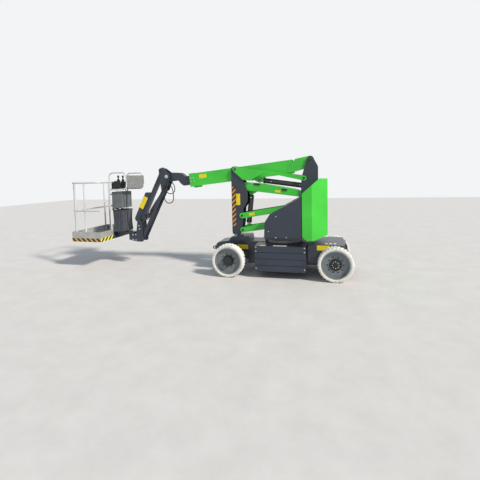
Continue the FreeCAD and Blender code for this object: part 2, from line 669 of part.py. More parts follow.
def counterweight():
    """The cast counterweight: sloped top, faceted rear corners and a slot for the tower."""
    body = new_body("counterweight")
    front, rear, corner = -s.weight_front_x, -s.weight_rear_x, -s.weight_corner_x
    low, chamfer = s.weight_bottom, 62
    layer(body, "side", 0, s.weight_half_width * 2, [
        (rear, low + chamfer + 14), (corner - 40, low), (corner + 80, low), (front, low + chamfer),
        (front, s.weight_shoulder), (-s.weight_crest_x, s.weight_top), (rear, s.weight_top)])
    for side in (1, -1):
        facet = [(corner, s.weight_half_width * side), (rear - 1, s.weight_rear_half * side),
                 (rear - 1, (s.weight_half_width + 1) * side), (corner, (s.weight_half_width + 1) * side)]
        if side > 0:
            facet = facet[::-1]
        layer(body, "top", *between(low - 1, s.weight_top + 1), facet, cut=True)
    layer(body, "top", *between(low - 1, s.weight_top + 1),
          block(rear + s.weight_back, front + 1, -s.weight_notch, s.weight_notch), cut=True)


def housing_outline(inset):
    """The housing's outline moved in by a wall's thickness."""
    rear, bottom = -s.weight_front_x + 9 + inset, s.deck_top + inset
    front = s.deck_front_x - 7 - inset
    return [(rear, bottom), (front, bottom), (front - 11, 942 - inset / 2),
            (front - 99 + inset / 4, 1075 - inset), (rear, 1356 - inset)]


def side_housing(name, side):
    """A turntable housing: top, front and inner walls, open on the outside for its cover."""
    body = new_body(f"housing_{name}")
    middle, width = between(s.link_half + 41, s.box_outer_y - 18)
    layer(body, "side", middle * side, width, housing_outline(Size.of(0)))
    middle, width = between(s.link_half + 45, s.box_outer_y)
    layer(body, "side", middle * side, width, housing_outline(Size.of(5)), cut=True)


def side_cover(name, side):
    """The outer door of a turntable housing, hinged along its rear edge."""
    body = new_body(f"cover_{name}")
    middle, width = between(s.box_outer_y - 17.7, s.box_outer_y - 1)
    layer(body, "side", middle * side, width, housing_outline(Size.of(1)))
    middle, width = between(s.box_outer_y - 19, s.box_outer_y - 4)
    layer(body, "side", middle * side, width, housing_outline(Size.of(12)), cut=True)


def power_unit():
    """The hydraulic tank with its motor and pump, in the left housing."""
    body = new_body("power_unit")
    layer(body, "side", 300, 220, block(-310, -30, s.deck_top + 5, 1010))
    layer(body, "side", 300, 200, block(-31, 110, s.deck_top + 5, s.deck_top + 20))
    layer(body, "side", 300, 180, (50, s.deck_top + 95, 80))


def control_cabinet():
    """The ground controls and charger in the right housing."""
    body = new_body("control_cabinet")
    layer(body, "side", -300, 220, block(-310, 60, s.deck_top + 5, 960))
    layer(body, "side", -300, 160, block(-310, -60, 959, 1130))


def link_holes(*pins):
    return [(x, z, 20 + s.pin_gap) for x, z in pins]


def lower_arm_top():
    """The two outer links of the tower's lower arm."""
    body = new_body("lower_arm_top")
    front = (s.lower_top_x, s.lower_top_z)
    rear = (s.lower_top_x - s.lower_run, s.lower_top_z + s.lower_rise)
    pair(body, "side", s.link_half, s.plate,
         [(*rear, s.lower_top_r), (*front, s.lower_top_r)], *link_holes(rear, front))


def lower_arm_bottom():
    """The lower arm's bottom links, tied by a cross tube with the tower cylinder's lugs."""
    body = new_body("lower_arm_bottom")
    front = (s.lower_bottom_x, s.lower_bottom_z)
    rear = (s.lower_bottom_x - s.lower_run, s.lower_bottom_z + s.lower_rise)
    tie_x = s.lower_bottom_x - 200
    tie_z = s.lower_bottom_z + 200 * s.lower_rise / s.lower_run
    far_x = s.lower_bottom_x - 700
    far_z = s.lower_bottom_z + 700 * s.lower_rise / s.lower_run
    layer(body, "side", 0, (s.link_half + 2) * 2, (tie_x, tie_z, 30))
    layer(body, "side", 0, (s.link_half + 2) * 2, (far_x, far_z, 30))
    pair(body, "side", s.link_half, s.plate,
         [(*rear, s.lower_bottom_r), (*front, s.lower_bottom_r)], *link_holes(rear, front))
    eye = (s.tower_eye_x, s.tower_eye_z)
    pair(body, "side", 32, 10, [(tie_x, tie_z, 40), (*eye, 34)])
    pair(body, "side", 41, 6, (*eye, 24))


def front_upright():
    """The front upright: two shaped side plates and a web along the front."""
    body = new_body("front_upright")
    top = (s.upper_top_x, s.upper_top_z)
    pivots = [(s.lower_top_x, s.lower_top_z), (s.lower_bottom_x, s.lower_bottom_z), top]
    front, foot = s.upper_top_x + 77, s.lower_bottom_z - 45
    layer(body, "side", 0, (s.upright_half + s.plate) * 2,
          block(front - 14, front - 4, foot + 50, s.upper_bottom_z - 70))
    outline = [(front - 46, foot, 46), (front - 50, s.upper_top_z, 50), (top[0] - 8, top[1], 50),
               (s.upper_bottom_x - 181, s.upper_bottom_z - 120, 45),
               (s.lower_top_x - 63, s.lower_top_z + 276, 40),
               (s.lower_top_x - 58, s.lower_top_z + 116, -40),
               (s.lower_bottom_x + 38, s.lower_bottom_z + 157, 40), (s.lower_bottom_x + 83, foot, 46)]
    pair(body, "side", s.upright_half, s.plate, outline,
         (s.upper_bottom_x, s.upper_bottom_z, 22 + s.pin_gap))
    for x, z in pivots[:2]:
        pair(body, "side", s.upright_half, s.plate, [(x, z, 42), (x + 80, z, 42)])
    outward = s.link_half + s.plate + 4 - s.upright_half
    for x, z in pivots:
        pair(body, "side", s.upright_half, outward, (x, z, 20))


def upper_arm_top():
    """The upper arm's top links: side plates with a deep belly at the front."""
    body = new_body("upper_arm_top")
    front = (s.upper_top_x, s.upper_top_z)
    rear = (s.upper_top_x - s.upper_run, s.upper_top_z - s.upper_fall)
    outline = [(*rear, s.upper_top_r), (front[0] - 535, front[1] - 107, -36),
               (front[0] - 258, front[1] - 187, 26), (front[0] - 161, front[1] - 153, 40),
               (*front, s.upper_top_r)]
    pair(body, "side", s.link_half, s.plate, outline, *link_holes(rear, front))


def upper_arm_bottom():
    """The upper arm's tapered bottom box, with the tower cylinder's upper lugs under it."""
    body = new_body("upper_arm_bottom")
    front = (s.upper_bottom_x, s.upper_bottom_z)
    rear = (s.upper_bottom_x - s.upper_run, s.upper_bottom_z - s.upper_fall)
    half, wall = s.upper_box_half, 6
    outline = [(*rear, 44), (rear[0] + 225, rear[1] + 25, 40), (front[0] - 153, front[1] - 48, 40),
               (*front, 46), (front[0] - 153, front[1] + 9, 40), (front[0] - 482, front[1] - 18, 40),
               (rear[0] + 135, rear[1] + 57, 40)]
    layer(body, "side", 0, half * 2, outline)
    core = [(rear[0] + 115, rear[1] + 31, 30), (rear[0] + 225, rear[1] + 25, 34),
            (front[0] - 203, front[1] - 55, 34), (front[0] - 203, front[1] + 5, 34),
            (front[0] - 482, front[1] - 18, 34), (rear[0] + 135, rear[1] + 57, 34)]
    layer(body, "side", 0, (half - wall) * 2, core, cut=True)
    layer(body, "side", 0, (s.upright_half + s.plate + 6) * 2, (*front, 22), (*front, 12))
    layer(body, "side", 0, (s.upright_half + s.plate + 6) * 2, (*rear, 22), (*rear, 12))
    pin = (s.tower_pin_x, s.tower_pin_z)
    root = [(pin[0] + 55, pin[1] + 48), (pin[0] + 55, pin[1] + 61), (pin[0] - 113, pin[1] + 40),
            (pin[0] - 113, pin[1] + 24)]
    pair(body, "side", 32, 10, [(*pin, 34), *root])
    layer(body, "side", 0, 90, (*pin, 20))


def rear_upright():
    """The rear upright: side plates, a rear web and the boom cylinder's base lugs."""
    body = new_body("rear_upright")
    boom = (-s.boom_pivot_x, s.boom_pivot_z)
    upper = (s.upper_top_x - s.upper_run, s.upper_top_z - s.upper_fall)
    lower = (s.upper_bottom_x - s.upper_run, s.upper_bottom_z - s.upper_fall)
    base = (-s.lift_base_x, s.lift_base_z)
    back = boom[0] - 125
    layer(body, "side", 0, (s.upright_half + s.plate) * 2,
          block(back + 4, back + 14, lower[1] - 20, boom[1] - 150))
    outline = [(lower[0], lower[1], 44), (upper[0] + 2, upper[1], 42), (boom[0], boom[1], 56),
               (back + 52, boom[1] - 130, 52), (back + 52, lower[1], 52)]
    pair(body, "side", s.upright_half, s.plate, outline, (*lower, 22 + s.pin_gap),
         (*boom, 28 + s.pin_gap))
    outward = s.link_half + s.plate + 4 - s.upright_half
    pair(body, "side", s.upright_half, outward, (*upper, 20))
    pair(body, "side", 40, 12, [(*base, 38), (back + 8, base[1] + 60), (back + 8, base[1] - 60)])
    layer(body, "side", 0, 110, (*base, 20))


def ram(label, base, tip, bore, rod, eye, gland, width):
    """A hydraulic cylinder closed between two points: its barrel, and its rod with an eye."""
    run, rise = tip[0] - base[0], tip[1] - base[1]
    closed, tilt = length_of(run, rise), heading(run, rise)
    barrel = new_body(f"{label}_barrel", base[0], 0, base[1], tilt=tilt)
    layer(barrel, "side", 0, width, (0, 0, eye), (0, 0, 20 + s.pin_gap))
    layer(barrel, "side", 0, width, block(eye - 3, eye + 20, -eye + 8, eye - 8))
    end = closed - gland
    layer(barrel, "end", *between(eye + 12, end), (0, 0, bore / 2))
    layer(barrel, "end", *between(eye + 20, end + 1), (0, 0, rod / 2 + s.pin_gap), cut=True)
    stem = new_body(f"{label}_rod", base[0], 0, base[1], tilt=tilt)
    layer(stem, "end", *between(eye + 24, closed - eye + 8), (0, 0, rod / 2))
    layer(stem, "side", 0, width, (closed, 0, eye))


def boom_body(label):
    """A body in the boom's own frame: origin at its pivot, +X along the boom."""
    return new_body(label, -s.boom_pivot_x, 0, s.boom_pivot_z, tilt=-s.boom_slope)


def main_boom():
    """The boom's outer tube with its rear bracket, front collar, lift lug and wear pad."""
    body = boom_body("main_boom")
    top, bottom, end, half = s.boom_top, s.boom_top - s.boom_depth, s.boom_length, s.boom_half
    pivot_reach = (s.upright_half + s.plate + 6) * 2
    layer(body, "side", 0, half * 2, block(300, end, bottom, top))
    bracket = [(0, 0, 62), (160, -60, 92), (352, bottom + 19), (470, bottom + 1), (250, top + 4)]
    layer(body, "side", 0, (half + 8) * 2, bracket)
    layer(body, "side", 0, (half - 10) * 2,
          [(110, -70, 20), (180, -118, 20), (331, bottom + 60), (331, top - 10), (110, 20, 15)],
          cut=True)
    layer(body, "side", 0, (half + 6) * 2, block(end - 105, end, bottom - 6, top + 6))
    layer(body, "side", 0, (half - s.boom_wall) * 2,
          block(310, end + 1, bottom + s.boom_wall, top - s.boom_wall), cut=True)
    layer(body, "side", 0, s.lift_bore + 16, block(280, 440, bottom - 10, bottom + 60), cut=True)
    pad_x1, pad_x2 = end - 96, end - 6
    inner_half, middle = half - s.boom_wall, top - s.boom_depth / 2
    slide = s.fly_half + s.pad_gap
    for side in (1, -1):
        pad_middle, pad_width = between(slide, inner_half + 1)
        layer(body, "side", pad_middle * side, pad_width, block(pad_x1, pad_x2, middle - 50, middle + 50))
    fly_top = middle + s.fly_depth / 2 + s.pad_gap
    fly_bottom = middle - s.fly_depth / 2 - s.pad_gap
    layer(body, "side", 0, 90, block(pad_x1, pad_x2, fly_top, top - s.boom_wall + 1))
    layer(body, "side", 0, 90, block(pad_x1, pad_x2, bottom + s.boom_wall - 1, fly_bottom))
    layer(body, "side", 0, pivot_reach, (0, 0, 28))
    lug = (s.lug_along, -s.lug_drop)
    pair(body, "side", 40, 12, [(lug[0], lug[1], 46), (lug[0] + 150, bottom + 2),
                                (lug[0] - 110, bottom + 2)])
    pair(body, "side", 51, 6, (*lug, 28))
    layer(body, "side", 0, 90, [(end - 176, bottom - 22, 8), (end - 66, bottom - 22, 8),
                                (end - 50, bottom + 1), (end - 190, bottom + 1)])


def fly_boom():
    """The boom's inner tube and the raised elbow that carries the head pivot."""
    body = boom_body("fly_boom")
    middle = s.boom_top - s.boom_depth / 2
    top, bottom = middle + s.fly_depth / 2, middle - s.fly_depth / 2
    head = (s.head_along, s.head_rise)
    tube_end = s.boom_length + 150
    layer(body, "side", 0, s.fly_half * 2, block(s.fly_rear, tube_end, bottom, top))
    layer(body, "side", 0, (s.fly_half - s.boom_wall) * 2,
          block(s.fly_rear - 1, tube_end - 30, bottom + s.boom_wall, top - s.boom_wall), cut=True)
    elbow = [(tube_end - 60, bottom), (tube_end + 14, bottom + 13), (tube_end + 61, -103),
             (tube_end + 92, -66, -12), (head[0] - 86, -34, 20), (*head, s.head_boss), (head[0] - 186, 68, 30),
             (tube_end + 28, 51, 30), (tube_end - 60, top)]
    layer(body, "side", 0, s.fly_half * 2, elbow)
    layer(body, "side", 0, s.fly_half * 2 + 2, (*head, s.head_bore + 15 + s.pin_gap), cut=True)


def level_head():
    """The head plates between boom and jib, kept level: hollow boom pivot and the jib's pins."""
    body = new_body("level_head")
    boom_x, boom_z = s.head_x, s.head_z
    jib, link = (s.jib_pin_x, s.jib_pin_z), (s.link_pin_x, s.link_pin_z)
    pair(body, "side", s.head_half, s.head_plate,
         [(*link, 44), (*jib, 48), (boom_x, boom_z, s.head_boss)], (boom_x, boom_z, s.head_bore))
    layer(body, "side", 0, s.head_half * 2, (boom_x, boom_z, s.head_bore + 15),
          (boom_x, boom_z, s.head_bore))
    layer(body, "side", 0, (s.head_half + s.head_plate + 6) * 2, (*jib, 20))
    layer(body, "side", 0, (s.head_half + s.head_plate + 6) * 2, (*link, 20))
    middle, width = between(s.head_half + s.head_plate - 1, s.head_half + s.head_plate + 18)
    for near, end in ((HOSE_UPPER[1], HOSE_UPPER[0]), (HOSE_UPPER[-2], HOSE_UPPER[-1]),
                      (HOSE_LOWER[1], HOSE_LOWER[0]), (HOSE_LOWER[-2], HOSE_LOWER[-1])):
        layer(body, "side", middle, width, hose_fitting(near, end))


def hose_fitting(near, end):
    """Outline of the fitting that a hose ends in, beyond its last two points seen from the side."""
    run = math.hypot(end[0] - near[0], end[2] - near[2])
    out_x, out_z = (end[0] - near[0]) / run, (end[2] - near[2]) / run
    return [(end[0] + along * out_x - across * out_z, end[2] + along * out_z + across * out_x)
            for along, across in ((1.5, -11), (30, -11), (30, 11), (1.5, 11))]


def jib_frame(label, x, z):
    """A body in the jib's own frame: origin at an upper pin, +X down along the jib."""
    return new_body(label, x, 0, z, tilt=-s.jib_angle)


def jib_arm():
    """The jib's tube with eyes at both pins, a casing along its front and the cylinder's lugs."""
    body = jib_frame("jib_arm", s.jib_pin_x, s.jib_pin_z)
    half, length = s.jib_depth / 2, s.jib_length
    hole = 20 + s.pin_gap
    layer(body, "side", 0, s.jib_half * 2,
          [(-8, -half), (length, 0, half), (-8, half, 0), (-46, half - 8, 6), (-46, -half + 8, 6)],
          (0, 0, hole), (length, 0, hole))
    layer(body, "side", 0, (s.jib_half - 5) * 2, block(80, length - 70, -half + 5, half - 5), cut=True)
    layer(body, "side", 0, 104, [(490, half - 1), (length - 20, half - 1), (length + 16, half + 50, 20),
                                 (length - 10, 120, 18), (548, 120, 20)])
    eye = (s.jib_eye_along, -s.jib_eye_drop)
    inner = s.jib_bore / 2 + 1.3
    pair(body, "side", inner, 10, [(*eye, 26), (eye[0] + 60, 0), (eye[0] - 70, 0)])
    pair(body, "side", 18.3, inner - 17.3, (*eye, 18))


def jib_link():
    """The jib's two levelling links."""
    body = jib_frame("jib_link", s.link_pin_x, s.link_pin_z)
    radius = s.jib_link_depth / 2
    pair(body, "side", s.jib_link_half, s.jib_link_wall,
         [(0, 0, radius + 3), (s.jib_length, 0, radius + 3)],
         (0, 0, 20 + s.pin_gap), (s.jib_length, 0, 20 + s.pin_gap))


def platform_support():
    """The jib's end bracket with the body of the platform rotator."""
    body = new_body("platform_support")
    jib = (s.foot_x, s.foot_z)
    link = (jib[0] - s.link_pin_behind, jib[1] - s.link_pin_below)
    low, high, x = s.rotator_bottom, s.rotator_top, s.rotator_x
    layer(body, "top", *between(low, high), (x, 0, s.rotator_dia / 2 + 6))
    layer(body, "side", 0, s.head_half * 2 + 2,
          block(link[0] + 116, link[0] + 128, low + 10, high - 20))
    pair(body, "side", s.head_half, s.head_plate,
         [(*link, 42), (link[0] + 110, low - 3, 24), (x - 8, low + 24, 26), (x - 8, high - 30, 22),
          (x - 92, high - 8 + 30, -30), (*jib, 46)])
    layer(body, "side", 0, (s.head_half + s.head_plate + 6) * 2, (*jib, 20))
    stub = s.jib_link_half - 4
    pair(body, "side", stub, s.head_half + s.head_plate + 6 - stub, (*link, 20))
    layer(body, "top", *between(high - 50, high + 1), (x, 0, 30 + s.pin_gap), cut=True)


def platform_bracket():
    """The turning top of the rotator and the bracket that carries the platform."""
    body = new_body("platform_bracket")
    x, low = s.rotator_x, s.rotator_top + s.slew_gap
    layer(body, "top", *between(low, low + 22),
          [(x, 0, s.rotator_dia / 2), (s.cage_rear_x, -88), (s.cage_rear_x, 88)])
    layer(body, "top", *between(s.rotator_top - 46, low + 1), (x, 0, 30))
    layer(body, "top", *between(low + 21, low + 36), (x + CABLE_END[0], CABLE_END[1], 13))
    layer(body, "end", s.cage_rear_x - 6, 12, block(-150, 150, s.floor_bottom, low + 22))
    for side in (1, -1):
        layer(body, "side", 60 * side, 12,
              [(x + 100, low + 1), (s.cage_rear_x - 200, low - 50), (s.cage_rear_x - 11, s.floor_bottom + 10),
               (s.cage_rear_x - 11, low + 1)])


def platform_floor():
    """The platform's pressed floor and its toe boards."""
    body = new_body("platform_floor")
    rear, front, half = s.cage_rear_x, s.cage_front_x, s.cage_half
    layer(body, "top", *between(s.floor_bottom, s.toe_top), block(rear, front, -half, half))
    wall = s.toe_wall
    layer(body, "top", *between(s.floor_top, s.toe_top + 1),
          block(rear + wall, front - wall, -half + wall, half - wall), cut=True)
    layer(body, "top", *between(s.floor_bottom - 1, s.floor_top - 5),
          block(rear + 40, front - 40, -half + 40, half - 40), cut=True)


def rail_corners(inset):
    """Centres of the rails' corners: rear, front, half width."""
    return (s.cage_rear_x + inset, s.cage_front_x - inset, s.cage_half - inset)


def platform_rails():
    """The platform's tubes: posts, top and middle rails, and the two hoops round the console."""
    body = new_body("platform_rails")
    top_r, post_r, low_r, bend = s.rail_dia / 2, s.post_dia / 2, s.low_rail_dia / 2, s.rail_corner
    rear, front, half = rail_corners(s.rail_inset)
    posts = [(front, half - bend), (front, -half + bend), (front - bend, half), (s.gate_x, half),
             (rear, s.hoop_near_y), (rear, s.hoop_far_y), (s.gate_x, -half), (front - bend, -half)]
    for x, y in posts:
        layer(body, "top", *between(s.floor_top, s.top_rail_z), (x, y, post_r))
    left, right, low, high = rear + bend, front - bend, -half + bend, half - bend
    tube(body, "top", s.top_rail_z, top_r,
         [(left, low, bend), (right, low, bend), (right, high, bend), (left, high, bend)],
         is_open=False)
    tube(body, "top", s.mid_rail_z, low_r,
         [(s.gate_x, half), (right, high, -bend), (right, low, -bend), (left, low, -bend),
          (rear, s.hoop_near_y)])
    ear = [(s.gate_x - 10, s.mid_rail_z - 11), (s.gate_x - 10, s.mid_rail_z + 11),
           (s.gate_x - s.gate_hinge, s.mid_rail_z, 11)]
    for offset in (9.8, -9.8):
        layer(body, "side", half + offset, 5, ear)
    back, low, high = s.hoop_rear_x + low_r, s.hoop_bottom + low_r, s.hoop_top - low_r
    curve = s.hoop_corner
    for y in (s.hoop_near_y, s.hoop_far_y):
        tube(body, "side", y, low_r,
             [(rear, low), (back + curve, low + curve, -curve), (back + curve, high - curve, -curve),
              (rear - curve, high - curve, -curve), (rear, s.top_rail_z)])


def entry_bar():
    """The bar across the platform's entry, hinged on its post and lifted to get in."""
    body = new_body("entry_bar", s.gate_x - s.gate_hinge, s.cage_half - s.rail_inset, s.mid_rail_z)
    reach = s.gate_x - s.cage_rear_x - 45
    layer(body, "end", *between(-reach, -26), (0, 0, s.low_rail_dia / 2))
    layer(body, "side", 0, 14, [(0, 0, 11), (-30, 0, 11)])


def guard_sheet():
    """The sheet across the machine side of the console's hoops, with the box under it."""
    body = new_body("guard_sheet")
    low, high = s.hoop_far_y - 10, s.hoop_near_y + 10
    sheet_top, foot = s.hoop_top - 69, s.hoop_bottom + 110
    layer(body, "end", s.hoop_rear_x - 2, 4, block(low, high, foot, sheet_top))
    layer(body, "end", s.hoop_rear_x - 2, 4, block(low + 160, low + 260, foot - 10, foot + 1))
    layer(body, "end", s.hoop_rear_x + 16, 40, block(low + 30, high - 30, foot - 76, foot - 1))


def console_box():
    """The platform's control console: sloped box, joysticks, knobs and a guard rim."""
    body = new_body("console_box")
    low, front = s.console_bottom, s.cage_rear_x + s.rail_inset - s.rail_dia / 2
    rear = front - 195
    layer(body, "side", 0, 260,
          [(rear, low), (front, low), (front, low + 112), (front - 20, low + 136), (rear, low + 150)])
    shelf_middle, shelf_width = between(s.hoop_far_y - 12, s.hoop_near_y + 12)
    shelf = s.hoop_bottom + s.low_rail_dia
    layer(body, "side", shelf_middle, shelf_width, block(rear, front - 2, shelf + 0.3, shelf + 5))
    layer(body, "side", 0, 252,
          [(rear + 4, low + 4), (front - 4, low + 4), (front - 4, low + 110), (front - 22, low + 131),
           (rear + 4, low + 145)], cut=True)
    for x, y in ((rear + 70, -78), (rear + 70, 78)):
        layer(body, "top", *between(low + 130, low + 172), (x, y, 26))
        layer(body, "top", *between(low + 170, low + 228), (x, y, 9))
        layer(body, "top", *between(low + 226, low + 262), (x, y, 17))
    layer(body, "end", *between(rear - 16, rear + 1), (CABLE_START[0], low + CABLE_START[1], 14))
    for step in range(5):
        layer(body, "top", *between(low + 125, low + 158), (front - 50, -90 + 45 * step, 11))


def platform_cabinet():
    """The ribbed grey cabinet under the console."""
    body = new_body("platform_cabinet")
    front = s.cage_rear_x + s.rail_inset - s.rail_dia / 2
    top = s.console_bottom - 50
    low = top - s.cabinet_height
    layer(body, "end", *between(front - 216, front), block(-217, 133, low, top))
    layer(body, "end", *between(front - 212, front - 4), block(-213, 129, low + 4, top - 4), cut=True)
    for step in range(6):
        layer(body, "end", *between(front - 222, front - 215),
              block(-200 + 56 * step, -180 + 56 * step, low + 20, top - 20))
    for height in (low + 40, top - 60):
        layer(body, "end", *between(front - 5, front + 0.7), block(0, 178, height, height + 24))


def tool_bag():
    """The soft tool bag hung from the middle rail, open at the top."""
    body = new_body("tool_bag")
    front = s.cage_rear_x - 0.3
    high, reach = s.mid_rail_z - 18, s.rail_inset - s.low_rail_dia / 2
    rear, low = front - 235, high - s.bag_depth
    layer(body, "top", *between(low, high),
          [(rear + 30, -210, 30), (front, -240), (front, 165), (rear + 30, 135, 30)])
    layer(body, "top", *between(low + 40, high + 1),
          [(rear + 30, -204, 22), (front - 8, -232), (front - 8, 157), (rear + 30, 129, 22)], cut=True)
    for y in (-190, -40, 110):
        layer(body, "end", *between(front - 4, front + reach), block(y - 15, y + 15, high - 30, high + 1))
        layer(body, "end", *between(front, front + reach), block(y - 15, y + 15, high, s.mid_rail_z + 8))


def tie_downs():
    """The lashing eyes welded to the frame's nose and tail."""
    body = new_body("tie_downs")
    nose, tail, height = s.nose_x, -s.rear_end_x + 40, s.front_frame_bottom + 40
    for side in (1, -1):
        layer(body, "side", 150 * side, 20,
              [(nose, height), (nose + 46, height + 30, 28), (nose, height + 60)],
              (nose + 46, height + 30, 15))
        y = 260 * side
        layer(body, "top", height + 30, 20, [(tail, y - 30), (tail, y + 30), (tail - 46, y, 28)],
              (tail - 46, y, 15))


# Routes of the head's two hoses and of the control cable: x, y, z of each corner. The hoses end in
# fittings on the head's near plate, the cable in glands on the console and on the platform's bracket.
CORD_DIA = 16
HOSE_UPPER = [(2140, 104.2, 1690), (2068, 104.2, 1625), (2024, 104.2, 1545), (2021, 104.2, 1462),
              (2075, 104.2, 1408), (2151, 104.2, 1408), (2205, 104.2, 1462), (2208, 104.2, 1572)]
HOSE_LOWER = [(2180, 104.2, 1640), (2110, 119, 1580), (2060, 124.2, 1505), (2046, 124.2, 1400),
              (2044, 124.2, 1285), (2098, 124.2, 1231), (2174, 124.2, 1231), (2228, 124.2, 1285),
              (2232, 124.2, 1390), (2230, 114, 1480), (2232, 104.2, 1562)]
CONTROL_CABLE = [(3147.2, 110, 1550), (3084, 111, 1528), (3048, 110, 1470), (3042, 108, 1398),
                 (3058, 98, 1298), (3072, 86, 1190), (3076, 76, 1070), (3078, 68, 950), (3072, 60, 830),
                 (3060, 54, 740), (3048, 44, 678.4)]
CABLE_START = (110, 40)    # its gland on the console's face: y, and height above the console's foot
CABLE_END = (48, 44)          # its gland on the bracket: ahead of the rotator's axis, y


def cord(name, points):
    """A hose through the given points: straight runs joined by arcs as large as the runs allow."""
    radius = CORD_DIA / 2
    points = [Vector(*point) for point in points]
    edges, bends, start = [], [], points[0]
    for before, corner, after in zip(points, points[1:], points[2:]):
        shorter = min((corner - before).Length, (after - corner).Length)
        arrive, leave = (corner - before).normalize(), (after - corner).normalize()
        turn = arrive.getAngle(leave)
        cut = 0.45 * shorter
        bend = cut / math.tan(turn / 2)
        first, last = corner - arrive * cut, corner + leave * cut
        inward = (leave - arrive).normalize()
        middle = corner + inward * (bend / math.cos(turn / 2) - bend)
        edges.append(Part.LineSegment(start, first).toShape())
        edges.append(Part.Arc(first, middle, last).toShape())
        bends.append(bend)
        start = last
    edges.append(Part.LineSegment(start, points[-1]).toShape())
    path = Part.Wire(edges)
    heading_out = (points[1] - points[0]).normalize()
    section = Part.Wire(Part.makeCircle(radius, points[0], heading_out))
    hose = doc.addObject("Part::Feature", name)
    hose.Label = name
    hose.Shape = path.makePipeShell([section], True, False)
    hose.Placement.Base = Vector(-middle_x.value, 0, 0)
    PARTS.append(hose)
    print(f"cord {name}: radius {radius}, length {path.Length:.0f}, bend radii "
          + " ".join(f"{bend:.0f}" for bend in bends)
          + f", volume to section by length {hose.Shape.Volume / (math.pi * radius ** 2 * path.Length):.4f}")


def cords():
    """The head's two hoses, looped beside its near plate, and the console's control cable."""
    cord("hose_head_upper", HOSE_UPPER)
    cord("hose_head_lower", HOSE_LOWER)
    cord("control_cable", CONTROL_CABLE)


def build():
    for name, x_sign, y_sign, rise, bored in WHEELS:
        tyre(name, x_sign, y_sign)
        rim(name, x_sign, y_sign, rise, bored)
    chassis_frame()
    front_hood()
    battery_packs()
    slew_ring()
    rear_drives()
    steer_cylinder()
    steer_rod()
    tie_downs()
    turntable_base()
    counterweight()
    power_unit()
    control_cabinet()
    for name, side in (("left", 1), ("right", -1)):
        knuckle(name, side)
        battery_box(name, side)
        side_housing(name, side)
        side_cover(name, side)
    lower_arm_top()
    lower_arm_bottom()
    front_upright()
    upper_arm_top()
    upper_arm_bottom()
    rear_upright()
    main_boom()
    fly_boom()
    level_head()
    jib_arm()
    jib_link()
    platform_support()
    platform_bracket()
    platform_floor()
    platform_rails()
    entry_bar()
    guard_sheet()
    console_box()
    platform_cabinet()
    tool_bag()
    ram("tower_cylinder", (s.tower_pin_x, s.tower_pin_z), (s.tower_eye_x, s.tower_eye_z),
        s.tower_bore, s.tower_rod, Size.of(32), 62, 50)
    slope_cos, slope_sin = cosine(s.boom_slope), sine(s.boom_slope)
    lift_base = (-s.lift_base_x, s.lift_base_z)
    lug = (-s.boom_pivot_x + s.lug_along * slope_cos - s.lug_drop * slope_sin,
           s.boom_pivot_z - s.lug_along * slope_sin - s.lug_drop * slope_cos)
    ram("boom_cylinder", lift_base, lug, s.lift_bore, s.lift_rod, Size.of(36), 70, 66)
    jib_cos, jib_sin = cosine(s.jib_angle), sine(s.jib_angle)
    jib_base = (s.link_pin_x, s.link_pin_z)
    jib_eye = (s.jib_pin_x + s.jib_eye_along * jib_cos - s.jib_eye_drop * jib_sin,
               s.jib_pin_z - s.jib_eye_along * jib_sin - s.jib_eye_drop * jib_cos)
    ram("jib_cylinder", jib_base, jib_eye, s.jib_bore, s.jib_rod, Size.of(28), 38, 36)
    cords()


def finish():
    """Recompute, refuse anything invalid, and write one STEP file a piece."""
    doc.recompute()
    bad = [thing.Label for thing in doc.Objects
           if "Invalid" in thing.State or "Error" in thing.State]
    for part in PARTS:
        if part.Shape.isNull() or not part.Shape.isValid() or part.Shape.Volume <= 0:
            bad.append(part.Label)
    if bad:
        raise RuntimeError("not sound: " + ", ".join(bad))
    os.makedirs("parts", exist_ok=True)
    for part in PARTS:
        part.Shape.exportStep(f"parts/{part.Label}.step")
        box = part.Shape.BoundBox
        print(f"{part.Label}: solids {len(part.Shape.Solids)}, "
              f"X {box.XMin:.0f} {box.XMax:.0f}, Y {box.YMin:.0f} {box.YMax:.0f}, "
              f"Z {box.ZMin:.0f} {box.ZMax:.0f}, volume {part.Shape.Volume / 1e9:.5f} m3")


build()
finish()
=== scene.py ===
import math

import bmesh
import bpy
from mathutils import Matrix, Vector


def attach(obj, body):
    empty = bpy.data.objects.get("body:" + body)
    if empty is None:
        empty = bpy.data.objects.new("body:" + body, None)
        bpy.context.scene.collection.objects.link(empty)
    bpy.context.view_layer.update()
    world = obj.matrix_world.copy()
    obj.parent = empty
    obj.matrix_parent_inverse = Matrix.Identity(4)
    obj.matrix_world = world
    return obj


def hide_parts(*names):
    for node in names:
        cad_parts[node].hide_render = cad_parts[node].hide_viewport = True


# The machine's drawings measure from the slew axis; the frame's origin lies this far in front of it.
ORIGIN_X = 1412.25
SIDES = (("left", 1), ("right", -1))

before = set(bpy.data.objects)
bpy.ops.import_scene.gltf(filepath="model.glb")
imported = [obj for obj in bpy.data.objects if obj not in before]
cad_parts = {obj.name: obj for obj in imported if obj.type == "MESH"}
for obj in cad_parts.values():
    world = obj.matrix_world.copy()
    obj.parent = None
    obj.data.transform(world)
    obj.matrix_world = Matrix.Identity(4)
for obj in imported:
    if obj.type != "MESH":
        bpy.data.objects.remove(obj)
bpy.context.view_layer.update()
scene = bpy.context.scene


def at(x, y, z):
    """A place in the machine's own millimetres, as a point of the frame in metres."""
    return Vector(((x - ORIGIN_X) / 1000, y / 1000, z / 1000))


# Camera

